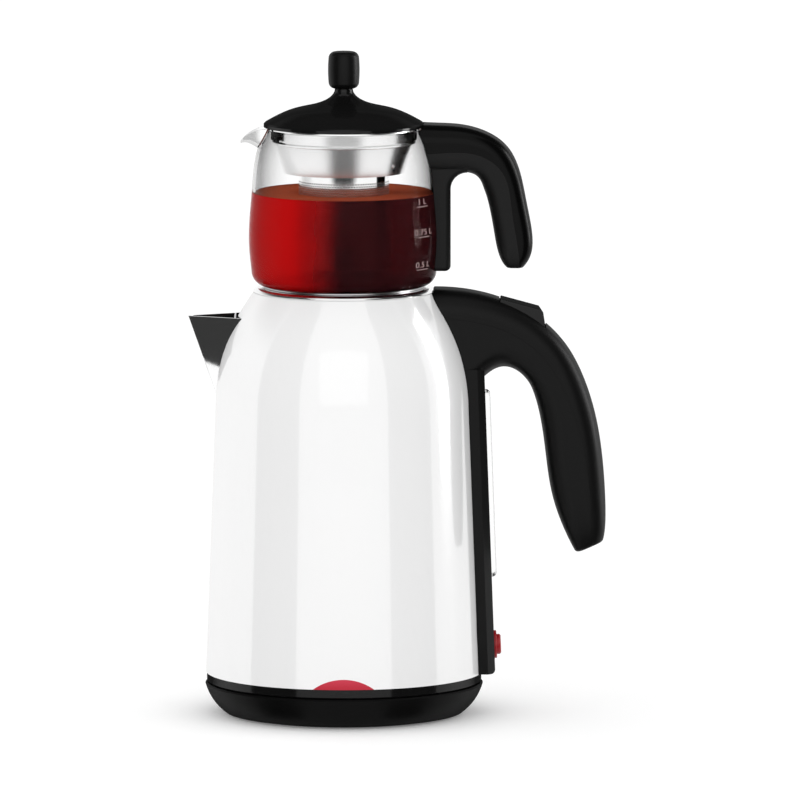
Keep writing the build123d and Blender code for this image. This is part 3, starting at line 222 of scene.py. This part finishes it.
def makeGlossWhite():
    def build(s):
        cloud = s.noise(9, 2)
        peel = s.noise(420, 1)
        colour = s.blend(cloud, rgb(0.9), rgb(0.92))
        return {"Base Color": colour, "Roughness": cloud * 0.03 + 0.16,
                "Normal": s.bump(peel, 0.000004)}
    return newMaterial("glossWhite", build, dull=0.6, dullFrom=(0.5, 0.9), IOR=1.55, Coat_Weight=1.0,
                       Coat_Roughness=0.02, Coat_IOR=1.6)


def makeGlossBlack():
    def build(s):
        cloud = s.noise(14, 2)
        return {"Base Color": s.blend(cloud, rgb(0.0035), rgb(0.006)),
                "Roughness": cloud * 0.05 + 0.09, "Normal": s.bump(s.noise(350, 1), 0.000003)}
    return newMaterial("glossBlack", build, dull=0.97, dullFrom=(0.35, 0.75), IOR=1.32)


glassLook = {
    "clearTone": 0.99,
    # painted shade: grey where the glass is seen edge on, and at the lip
    "edgeShadeTone": 0.25,
    "edgeFacing": (0.12, 1.0),
    "lip": (0.052, 0.058),       # where the pouring lip leaves the body, in metres
    "lipShadeTone": 0.7,
}


def makeGlass():
    # thin clear glass, its colour painted grey where it is seen edge on and at the pouring lip:
    # painted shade in place of refraction
    def build(s):
        cloud = s.noise(12, 2)
        edge = s.facing().smooth(*glassLook["edgeFacing"])
        x, y, z = s.axes(s.place())
        lip = (x * -1).smooth(*glassLook["lip"])
        tone = s.blend(edge, rgb(glassLook["clearTone"]), rgb(glassLook["edgeShadeTone"]))
        return {"Roughness": cloud * 0.01, "Base Color": s.blend(lip, tone, rgb(glassLook["lipShadeTone"]))}
    return newMaterial("clearGlass", build, IOR=1.06, Transmission_Weight=1.0)


def makeClearPlastic():
    # clear, with a grey line painted at a rounded edge where it is seen edge on: painted shade in
    # place of refraction
    def build(s):
        cloud = s.noise(60, 2)
        edge = s.facing().smooth(0.2, 0.6)
        return {"Roughness": cloud * 0.03, "Base Color": s.blend(edge, rgb(0.98), rgb(0.42))}
    return newMaterial("clearPlastic", build, IOR=1.1, Transmission_Weight=1.0)


lensLook = {
    # the lens's colour runs up from the low one to a painted glow at its top
    "lowColour": (0.50, 0.02, 0.04, 1),
    "paintedGlowColour": (0.62, 0.045, 0.08, 1),
    "heights": (0.0262, 0.0345),  # from foot to crown, in metres
}


def makeRedLens():
    def build(s):
        x, y, z = s.axes(s.place())
        # painted glow: the lens is lighter towards its top
        glow = z.smooth(*lensLook["heights"])
        cloud = s.noise(120, 2)
        return {"Base Color": s.blend(glow, lensLook["lowColour"], lensLook["paintedGlowColour"]),
                "Roughness": cloud * 0.06 + 0.12}
    return newMaterial("redLens", build, dull=0.6, Specular_IOR_Level=0.2)


def makeRedPlastic():
    def build(s):
        cloud = s.noise(90, 2)
        colour = s.blend(cloud, (0.30, 0.006, 0.010, 1), (0.42, 0.010, 0.016, 1))
        return {"Base Color": colour, "Roughness": cloud * 0.06 + 0.14}
    return newMaterial("redPlastic", build, dull=0.6, Specular_IOR_Level=0.3)


finishes = {
    "matte_black": moulded("matteBlack", [0.003], 0.5, 2600, 0.00002, dull=0.7,
                           Specular_IOR_Level=0.08),
    "satin_black": moulded("satinBlack", [0.003], 0.36, 2200, 0.00001, dull=0.7,
                           Specular_IOR_Level=0.14),
    "gloss_black": makeGlossBlack(),
    "gloss_white": makeGlossWhite(),
    "polished_steel": polished("polishedSteel", (0.93, 0.93, 0.93), 0.08),
    "steel": polished("plainSteel", (0.62, 0.62, 0.63), 0.24),
    "aluminium": polished("castAluminium", (0.7, 0.7, 0.71), 0.42, lines=60, depth=0.00003),
    "brass": polished("contactBrass", (0.78, 0.56, 0.25), 0.22),
    "rubber": moulded("padRubber", [0.012], 0.75, 1500, 0.00004),
    "silicone": moulded("milkySilicone", [0.62, 0.62, 0.6], 0.55, 900, 0.00001,
                        Subsurface_Weight=0.15, Subsurface_Scale=0.002),
    "lamp_board": moulded("lampBoard", [0.55, 0.5, 0.38], 0.5, 700, 0.00001),
    "clear_plastic": makeClearPlastic(),
    "red_lens": makeRedLens(),
    "red_plastic": makeRedPlastic(),
    "glass": makeGlass(),
}
# nodes with a finish of their own
ownFinishes = {
    "spout": makeSpoutSteel(),
    "infuser_cup": polished("satinSteel", (0.93, 0.93, 0.93), 0.2),
    "teapot_handle_shell": moulded("pianoBlack", [0.0014], 0.22, 2200, 0.000004, dull=0.8,
                                   Specular_IOR_Level=0.1),
    "teapot_handle_grip": moulded("softBlack", [0.006], 0.42, 2600, 0.00002, dull=0.7,
                                  Specular_IOR_Level=0.16),
}
for part in frame["record"]["subparts"]:
    meshData = nodes[part["node"]].data
    meshData.materials.clear()
    meshData.materials.append(ownFinishes.get(part["node"], finishes[part["material_slot"]]))
print("finishes:", len(finishes))


# Making pieces

sharpAngle = 30                  # degrees between faces that meet in a sharp edge


def newPiece(name, shape, body, material):
    shapeMesh = bpy.data.meshes.new(name)
    shape.to_mesh(shapeMesh)
    shape.free()
    piece = bpy.data.objects.new(name, shapeMesh)
    bpy.context.scene.collection.objects.link(piece)
    shapeMesh.materials.append(material)
    shapeMesh.polygons.foreach_set("use_smooth", [True] * len(shapeMesh.polygons))
    shapeMesh.set_sharp_from_angle(angle=math.radians(sharpAngle))
    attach(piece, body)
    return piece


def lathe(profile, steps):
    # closed shape spun from its half profile, given as (radius, height) in millimetres
    shape = bmesh.new()
    points = [shape.verts.new((r * mm, 0, z * mm)) for r, z in profile]
    for first, second in zip(points, points[1:]):
        shape.edges.new((first, second))
    bmesh.ops.spin(shape, geom=shape.verts[:] + shape.edges[:], cent=(0, 0, 0), axis=axisZ,
                   angle=2 * math.pi, steps=steps, use_merge=True)
    bmesh.ops.remove_doubles(shape, verts=shape.verts[:], dist=weld)
    bmesh.ops.recalc_face_normals(shape, faces=shape.faces[:])
    return shape


# Tea in the glass

teaLook = {
    "level": 335.0,
    "edgeDrop": 0.6,             # the outside ends this far below the level
    "edge": [(0.3, 0.6), (2.0, 0.2), (6.0, 0.0)],  # in from the outside, up from the level
    "levels": 14,
    "skin": 0.4,                 # kept clear of the glass's outside
    "steps": 128,
    # tints for the tea's painted lit side and painted shaded side
    "paintedLitTint": (0.75, 0.22, 0.2, 1),
    "paintedShadeTint": (0.07, 0.05, 0.05, 1),
    "paintedLitCloud": (0.8, 0.008, 0.010, 1),
    "paintedShadeCloud": (0.05, 0.010, 0.013, 1),
    "cloudy": 0.5,               # share of the tea that isn't seen through
    "paintedShade": (-0.036, 0.0),     # the tea is painted lighter on the left and darker on the right, as painted light and shade; where the change runs across the glass, in metres
    "unevenness": 0.012,
    "depthColour": (0.9, 0.08, 0.05, 1),
    "density": 42.0,
    "skinColour": (0.46, 0.095, 0.045),
}


def makeTeaBody():
    material = bpy.data.materials.new("brewedTea")
    material.use_nodes = True
    s = Shader(material.node_tree)
    cloud = s.noise(25, 2)
    x, y, z = s.axes(s.place())
    uneven = teaLook["unevenness"]
    # painted light and shade: lighter on the left, darker on the right, with an uneven border
    paintedShade = (x + cloud * uneven - uneven / 2).smooth(*teaLook["paintedShade"])
    surface = s.node("ShaderNodeBsdfPrincipled", inputs={
        "Base Color": s.blend(paintedShade, teaLook["paintedLitTint"], teaLook["paintedShadeTint"]),
        "Roughness": cloud * 0.02, "IOR": 1.05, "Transmission Weight": 1.0})
    fine = s.node("ShaderNodeBsdfDiffuse", inputs={
        "Color": s.blend(paintedShade, teaLook["paintedLitCloud"], teaLook["paintedShadeCloud"])})
    surface = s.node("ShaderNodeMixShader", inputs=[teaLook["cloudy"], surface, fine])
    depth = s.node("ShaderNodeVolumeAbsorption",
                   inputs={"Color": teaLook["depthColour"], "Density": teaLook["density"]})
    s.node("ShaderNodeOutputMaterial", inputs={"Surface": surface, "Volume": depth})
    return material


def makeTeaSkin():
    # the level surface, seen at a low angle
    def build(s):
        cloud = s.noise(35, 3)
        ends = shades(teaLook["skinColour"], 0.8, 1.0)
        return {"Base Color": s.blend(cloud, *ends), "Roughness": cloud * 0.05 + 0.08}
    return newMaterial("teaSkin", build, Specular_IOR_Level=0.0)


def glassRadius(level):
    start = Vector((0, -outside, level * mm))
    place = nodes["glass_jug"].ray_cast(start, Vector((0, 1, 0)))[1]
    return -place.y / mm


def makeTea():
    top = teaLook["level"]
    foot = min(corner[2] for corner in nodes["glass_jug"].bound_box) / mm
    low = foot + teaLook["skin"]
    profile = [(0.0, low)]
    for step in range(teaLook["levels"] + 1):
        # closer together in the round foot
        share = (step / teaLook["levels"]) ** 2
        height = low + share * (top - teaLook["edgeDrop"] - low)
        profile.append((glassRadius(height) - teaLook["skin"], height))
    rim = profile[-1][0]
    profile += [(rim - inset, top + rise) for inset, rise in teaLook["edge"]]
    profile.append((0.0, top))
    piece = newPiece("tea", lathe(profile, teaLook["steps"]), "teapot", makeTeaBody())
    piece.data.materials.append(makeTeaSkin())
    for face in piece.data.polygons:
        if face.center.z > (top - 0.1) * mm and face.normal.z > 0.7:
            face.material_index = 1


makeTea()
print("tea made")


# Infuser sleeve with its fine perforations

sieveLook = {
    "radius": 28.9,
    "sheet": 0.6,
    "top": 349.0,
    "foot": 284.1,
    "steps": 128,
    "around": 104,               # holes in one ring
    "ringStep": 1.5,             # height from ring to ring
    "holesTop": 343.5,
    "holesFoot": 288.0,
    "holeSize": 0.32,            # radius as a share of the step across
    "holeEdge": 0.06,            # softness of a hole's edge, the same way
    # the rounded foot: in from the wall, up from the foot
    "footOutside": [(2.0, 0.0), (0.6, 0.5), (0.0, 2.0)],
    "footInside": [(0.0, 2.2), (1.6, 0.7)],
}


def makePerforated():
    def build(s):
        x, y, z = s.axes(s.place())
        turn = s.math("ARCTAN2", y, x) * (sieveLook["around"] / (2 * math.pi))
        ring = z / (sieveLook["ringStep"] * mm)
        odd = s.math("FLOORED_MODULO", s.math("FLOOR", ring), 2.0)
        across = s.math("FRACT", turn + odd * 0.5) - 0.5
        along = s.math("FRACT", ring) - 0.5
        inBand = (z > sieveLook["holesFoot"] * mm) * (z < sieveLook["holesTop"] * mm)
        gap = s.math("SQRT", across * across + along * along)
        size, edge = sieveLook["holeSize"], sieveLook["holeEdge"]
        hole = (1 - gap.smooth(size - edge, size + edge)) * inBand
        brush = s.noise(1.0, 4, stretch=(6, 6, 900))
        # the holes are painted on: dark, as painted shade seen through them, rougher and not metal
        colour = s.blend(hole, rgb(0.9), rgb(0.05))
        return {"Base Color": colour, "Roughness": brush * 0.05 + 0.06 + hole * 0.4,
                "Metallic": 1 - hole, "Normal": s.bump(1 - hole, 0.00002)}
    return newMaterial("perforatedSteel", build)


def makeSieve():
    top = sieveLook["top"]
    foot = sieveLook["foot"]
    outer = sieveLook["radius"]
    inner = outer - sieveLook["sheet"]
    profile = [(0.0, foot)]
    profile += [(outer - inset, foot + rise) for inset, rise in sieveLook["footOutside"]]
    profile += [(outer, top), (inner, top)]
    profile += [(inner - inset, foot + rise) for inset, rise in sieveLook["footInside"]]
    profile.append((0.0, profile[-1][1]))
    shape = lathe(profile, sieveLook["steps"])
    return newPiece("sieveSleeve", shape, "infuser", makePerforated())


sieve = makeSieve()
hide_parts("infuser_sieve")
print("infuser sleeve made")


# Rim of the small hole drilled in the infuser cup

rimLook = {
    "across": 31.4,              # from the axis towards the handle
    "height": 354.4,
    "radius": 1.0,
    "wire": 0.22,
    "wireSides": 8,
    "steps": 24,
}


def makeCupRim():
    start = Vector((rimLook["across"] * mm, -outside, rimLook["height"] * mm))
    place, normal = nodes["infuser_cup"].ray_cast(start, Vector((0, 1, 0)))[1:3]
    shape = bmesh.new()
    wire = bmesh.ops.create_circle(shape, radius=rimLook["wire"] * mm,
                                   segments=rimLook["wireSides"])["verts"]
    bmesh.ops.rotate(shape, verts=wire, matrix=Matrix.Rotation(math.pi / 2, 3, "X"))
    bmesh.ops.translate(shape, verts=wire, vec=(rimLook["radius"] * mm, 0, 0))
    bmesh.ops.spin(shape, geom=shape.verts[:] + shape.edges[:], cent=(0, 0, 0), axis=axisZ,
                   angle=2 * math.pi, steps=rimLook["steps"], use_merge=True)
    bmesh.ops.recalc_face_normals(shape, faces=shape.faces[:])
    turn = normal.to_track_quat("Z", "Y").to_matrix().to_4x4()
    bmesh.ops.transform(shape, verts=shape.verts[:], matrix=Matrix.Translation(place) @ turn)
    newPiece("cupHoleRim", shape, "infuser", finishes["polished_steel"])


makeCupRim()
print("cup detail made")


# Volume marks printed on the glass

markLook = {
    "lines": [("1 L", 330.8), ("0.75 L", 311.5), ("0.5 L", 290.6)],
    "azimuth": -32.6,            # degrees from +X towards the front
    "roundness": 58.5,           # radius that the print is rolled to
    "letterHeight": 3.9,
    "lineShare": 1.35,           # a line's height against its letters
    "thinner": 0.09,             # taken off each side of a stroke
    "sheet": 0.01,               # half the print's thickness
    "barLength": 12.6,
    "stretch": 1.5,              # letters are wide, to read well round the glass
    "barHeight": 0.3,
    "barDrop": 1.4,
    "stand": 0.04,               # in front of the glass
    "longEdge": 0.9,             # longer edges are divided, to bend round the glass
    "cuts": 3,
    "lowTone": (0.46, 0.34, 0.34, 1),
    "highTone": (0.56, 0.44, 0.44, 1),
}


def wrapOnGlass(shape, height):
    # the flat print's x runs round the glass and its y runs up it
    for vertex in shape.verts:
        turn = math.radians(markLook["azimuth"]) + vertex.co.x / (markLook["roundness"] * mm)
        out = Vector((math.cos(turn), math.sin(turn), 0))
        start = out * outside + Vector((0, 0, height * mm + vertex.co.y))
        place = nodes["glass_jug"].ray_cast(start, -out)[1]
        vertex.co = place + out * (markLook["stand"] * mm * (1 if vertex.co.z > 0 else -1))


def makeMarks():
    shape = bmesh.new()
    for words, height in markLook["lines"]:
        curve = bpy.data.curves.new("markText", "FONT")
        curve.body = words
        curve.size = markLook["letterHeight"] * markLook["lineShare"] * mm
        curve.align_x = "CENTER"
        curve.extrude = markLook["sheet"] * mm
        curve.offset = -markLook["thinner"] * mm
        carrier = bpy.data.objects.new("markText", curve)
        printed = bpy.data.meshes.new_from_object(carrier)
        line = bmesh.new()
        line.from_mesh(printed)
        bmesh.ops.remove_doubles(line, verts=line.verts[:], dist=weld / 10)
        bmesh.ops.scale(line, verts=line.verts[:], vec=(markLook["stretch"], 1, 1))
        bar = bmesh.ops.create_cube(line, size=1.0)["verts"]
        barSize = [markLook["barLength"] * mm, markLook["barHeight"] * mm, 2 * markLook["sheet"] * mm]
        bmesh.ops.scale(line, verts=bar, vec=barSize)
        bmesh.ops.translate(line, verts=bar, vec=(0, -markLook["barDrop"] * mm, 0))
        long = [edge for edge in line.edges if edge.calc_length() > markLook["longEdge"] * mm]
        bmesh.ops.subdivide_edges(line, edges=long, cuts=markLook["cuts"])
        wrapOnGlass(line, height)
        joined = bpy.data.meshes.new("markLine")
        line.to_mesh(joined)
        line.free()
        shape.from_mesh(joined)
        bpy.data.objects.remove(carrier)
    bmesh.ops.triangulate(shape, faces=shape.faces[:])

    def build(s):
        cloud = s.noise(300, 2)
        return {"Base Color": s.blend(cloud, markLook["lowTone"], markLook["highTone"]),
                "Roughness": cloud * 0.1 + 0.45}
    newPiece("volumeMarks", shape, "teapot", newMaterial("printedMarks", build))


makeMarks()
print("marks made")


# Camera, floor and light

view = {
    "distance": 8.0,
    "elevation": 7.0,
    "pixel": 0.64 * mm,          # one cell of the frame, at the kettle's axis
    "cells": 800,
    "axisCell": 344.0,           # the kettle's axis, from the frame's left side
    "floorCell": 712.5,          # the floor under the axis, from the frame's top
    "sensor": 36.0,
    "farthest": 100,
}


def makeCamera():
    lean = math.radians(view["elevation"])
    middle = view["cells"] / 2
    aim = Vector(((middle - view["axisCell"]) * view["pixel"], 0,
                  (view["floorCell"] - middle) * view["pixel"] / math.cos(lean)))
    data = bpy.data.cameras.new("camera")
    data.sensor_width = view["sensor"]
    data.lens = view["sensor"] * view["distance"] / (view["cells"] * view["pixel"])
    data.clip_end = view["farthest"]
    camera = bpy.data.objects.new("camera", data)
    bpy.context.scene.collection.objects.link(camera)
    back = Vector((0, -math.cos(lean), math.sin(lean)))
    camera.location = aim + back * view["distance"]
    camera.rotation_euler = (-back).to_track_quat("-Z", "Y").to_euler()
    bpy.context.scene.camera = camera


studio = {
    "diffuseLevel": 1.0,         # the world's light on the object
    "whiteLevel": 1.0,           # the world as the camera, metal and glass see it
    "ceilingLevel": 0.07,        # what gloss sees overhead
    "ceilingFrom": 0.30,         # sine of the height where the ceiling starts
    "ceilingTo": 0.62,
    "frontLean": (0.02, 0.12),   # a ceiling leaning this far to the front is bright
    "floorTone": 0.9,
    "floorGlow": 0.16,           # only what is looked at; it lights nothing
    "floorReach": 40.0,
    "floorDrop": 0.0002,         # just under the feet
    "lampAim": (0, 0, 0.22),
    "frontWidth": 2.2,
    "frontHeight": 1.6,
    "frontPlace": (0.0, -2.6, 1.1),
    "frontLevel": 0.5,
    "stripWidth": 0.5,
    "stripHeight": 1.6,
    "stripPlace": (1.9, 0.35, 0.7),
    "stripLevel": 7.0,
    "flagAzimuth": 59.5,         # degrees either side of the front
    "flagDistance": 0.9,
    "flagHalfAngle": 21.0,
    "flagHeight": 1.8,
    "flagTone": 0.04,
    "softFrom": 0.2,
    "apronHeight": 0.0004,
    # the floor before a flag, dark to reflections: near and far, to the flag's two edges
    "apron": [[(0.027, 0.079), (0.054, 0.064)], [(0.6, 0.754), (0.951, 0.159)]],
    # cards that only what stands behind glass can see
    "cards": {
        "cupCard": {"place": (0.0, -0.32, 0.10), "size": (0.5, 0.34), "tilt": -2.8},
        "sleeveCard": {"place": (0.0, -2.2, 0.19), "size": (3.5, 0.38), "tilt": 90.0},
    },
}


def areaLight(name, place, width, height, level):
    # a soft panel that faces the object, of even brightness
    data = bpy.data.lights.new(name, "AREA")
    data.shape = "RECTANGLE"
    data.size = width
    data.size_y = height
    data.energy = level * math.pi * width * height
    panel = bpy.data.objects.new(name, data)
    bpy.context.scene.collection.objects.link(panel)
    panel.location = place
    aim = Vector(studio["lampAim"]) - panel.location
    panel.rotation_euler = aim.to_track_quat("-Z", "Y").to_euler()
    return panel


def makeWorld():
    # white to the camera and through glass; gloss also sees a dark ceiling
    world = bpy.data.worlds.new("world")
    bpy.context.scene.world = world
    world.use_nodes = True
    s = Shader(world.node_tree)
    path = s.node("ShaderNodeLightPath").socket.node
    seen = Wire(s, path.outputs["Is Camera Ray"]) + Wire(s, path.outputs["Is Transmission Ray"])
    gloss = Wire(s, path.outputs["Is Glossy Ray"])
    x, y, z = s.axes(s.node("ShaderNodeTexCoord", out=0))
    low = 1 - z.smooth(studio["ceilingFrom"], studio["ceilingTo"])
    front = (y * -1).smooth(*studio["frontLean"])
    lit = s.math("MAXIMUM", low, front)
    glossLevel = studio["ceilingLevel"] + lit * (studio["whiteLevel"] - studio["ceilingLevel"])
    level = studio["diffuseLevel"] + gloss * (glossLevel - studio["diffuseLevel"])
    level = level + seen.clamped() * (studio["whiteLevel"] - level)
    glow = s.node("ShaderNodeBackground", inputs={"Color": (1, 1, 1, 1), "Strength": level})
    s.node("ShaderNodeOutputWorld", inputs={"Surface": glow})


def makeFloor():
    shape = bmesh.new()
    bmesh.ops.create_grid(shape, x_segments=1, y_segments=1, size=studio["floorReach"])
    floorMesh = bpy.data.meshes.new("floor")
    shape.to_mesh(floorMesh)
    shape.free()
    floor = bpy.data.objects.new("floor", floorMesh)
    bpy.context.scene.collection.objects.link(floor)
    floor.location.z = -studio["floorDrop"]
    material = bpy.data.materials.new("paleFloor")
    material.use_nodes = True
    s = Shader(material.node_tree)
    matte = s.node("ShaderNodeBsdfDiffuse", inputs={"Color": rgb(studio["floorTone"])})
    path = s.node("ShaderNodeLightPath").socket.node
    rays = [Wire(s, path.outputs[f"Is {kind} Ray"]) for kind in ("Camera", "Glossy", "Transmission")]
    seen = (rays[0] + rays[1] + rays[2]).clamped() * studio["floorGlow"]
    glow = s.node("ShaderNodeEmission", inputs={"Color": (1, 1, 1, 1), "Strength": seen})
    both = s.node("ShaderNodeAddShader", inputs=[matte, glow])
    s.node("ShaderNodeOutputMaterial", inputs={"Surface": both})
    floorMesh.materials.append(material)


def newCard(name, width, height, middle, lean, turn=0.0, glassOnly=False):
    # a dark card out of view: reflections see it, or only what stands behind glass
    shape = bmesh.new()
    bmesh.ops.create_grid(shape, x_segments=1, y_segments=1, size=0.5)
    points = shape.verts[:]
    bmesh.ops.scale(shape, verts=points, vec=(width, height, 1))
    bmesh.ops.rotate(shape, verts=points, matrix=Matrix.Rotation(math.radians(lean), 3, "X"))
    bmesh.ops.translate(shape, verts=points, vec=middle)
    bmesh.ops.rotate(shape, verts=points, matrix=Matrix.Rotation(math.radians(turn), 3, "Z"))
    cardMesh = bpy.data.meshes.new(name)
    shape.to_mesh(cardMesh)
    shape.free()
    card = bpy.data.objects.new(name, cardMesh)
    bpy.context.scene.collection.objects.link(card)
    material = bpy.data.materials.new(name)
    material.use_nodes = True
    s = Shader(material.node_tree)
    dimInputs = {"Color": (1, 1, 1, 1), "Strength": studio["flagTone"]}
    dim = s.node("ShaderNodeEmission", inputs=dimInputs)
    clear = s.node("ShaderNodeBsdfTransparent")
    if glassOnly:
        x, y, z = s.axes(s.place())
        gone = s.math("ABSOLUTE", x).smooth(width * studio["softFrom"], width * 0.5)
    else:
        path = s.node("ShaderNodeLightPath").socket.node
        gone = Wire(s, path.outputs["Is Transmission Ray"])
    dim = s.node("ShaderNodeMixShader", inputs=[gone, dim, clear])
    s.node("ShaderNodeOutputMaterial", inputs={"Surface": dim})
    cardMesh.materials.append(material)
    card.visible_camera = False
    card.visible_diffuse = False
    card.visible_glossy = not glassOnly
    card.visible_shadow = False
    return card


def makeCards():
    away = studio["flagDistance"]
    width = 2 * away * math.tan(math.radians(studio["flagHalfAngle"]))
    middle = (0, -away, studio["flagHeight"] / 2)
    for name, side in (("leftFlag", -1), ("rightFlag", 1)):
        newCard(name, width, studio["flagHeight"], middle, 90, studio["flagAzimuth"] * side)
    for name, card in studio["cards"].items():
        newCard(name, *card["size"], card["place"], card["tilt"], glassOnly=True)
    for name, side in (("leftApron", -1), ("rightApron", 1)):
        apron = newCard(name, 1, 1, (0, 0, 0), 0)
        for vertex in apron.data.vertices:
            near, far = studio["apron"]
            edge = 0 if vertex.co.x < 0 else 1
            x, y = (near if vertex.co.y < 0 else far)[edge]
            vertex.co = (x * side, -y, studio["apronHeight"])


makeCamera()
makeWorld()
makeFloor()
makeCards()
areaLight("frontPanel", studio["frontPlace"], studio["frontWidth"], studio["frontHeight"],
          studio["frontLevel"])
strip = areaLight("rightStrip", studio["stripPlace"], studio["stripWidth"], studio["stripHeight"],
                  studio["stripLevel"])
strip.visible_diffuse = False
strip.visible_transmission = False
bpy.context.scene.view_settings.view_transform = "Standard"
print("studio made")
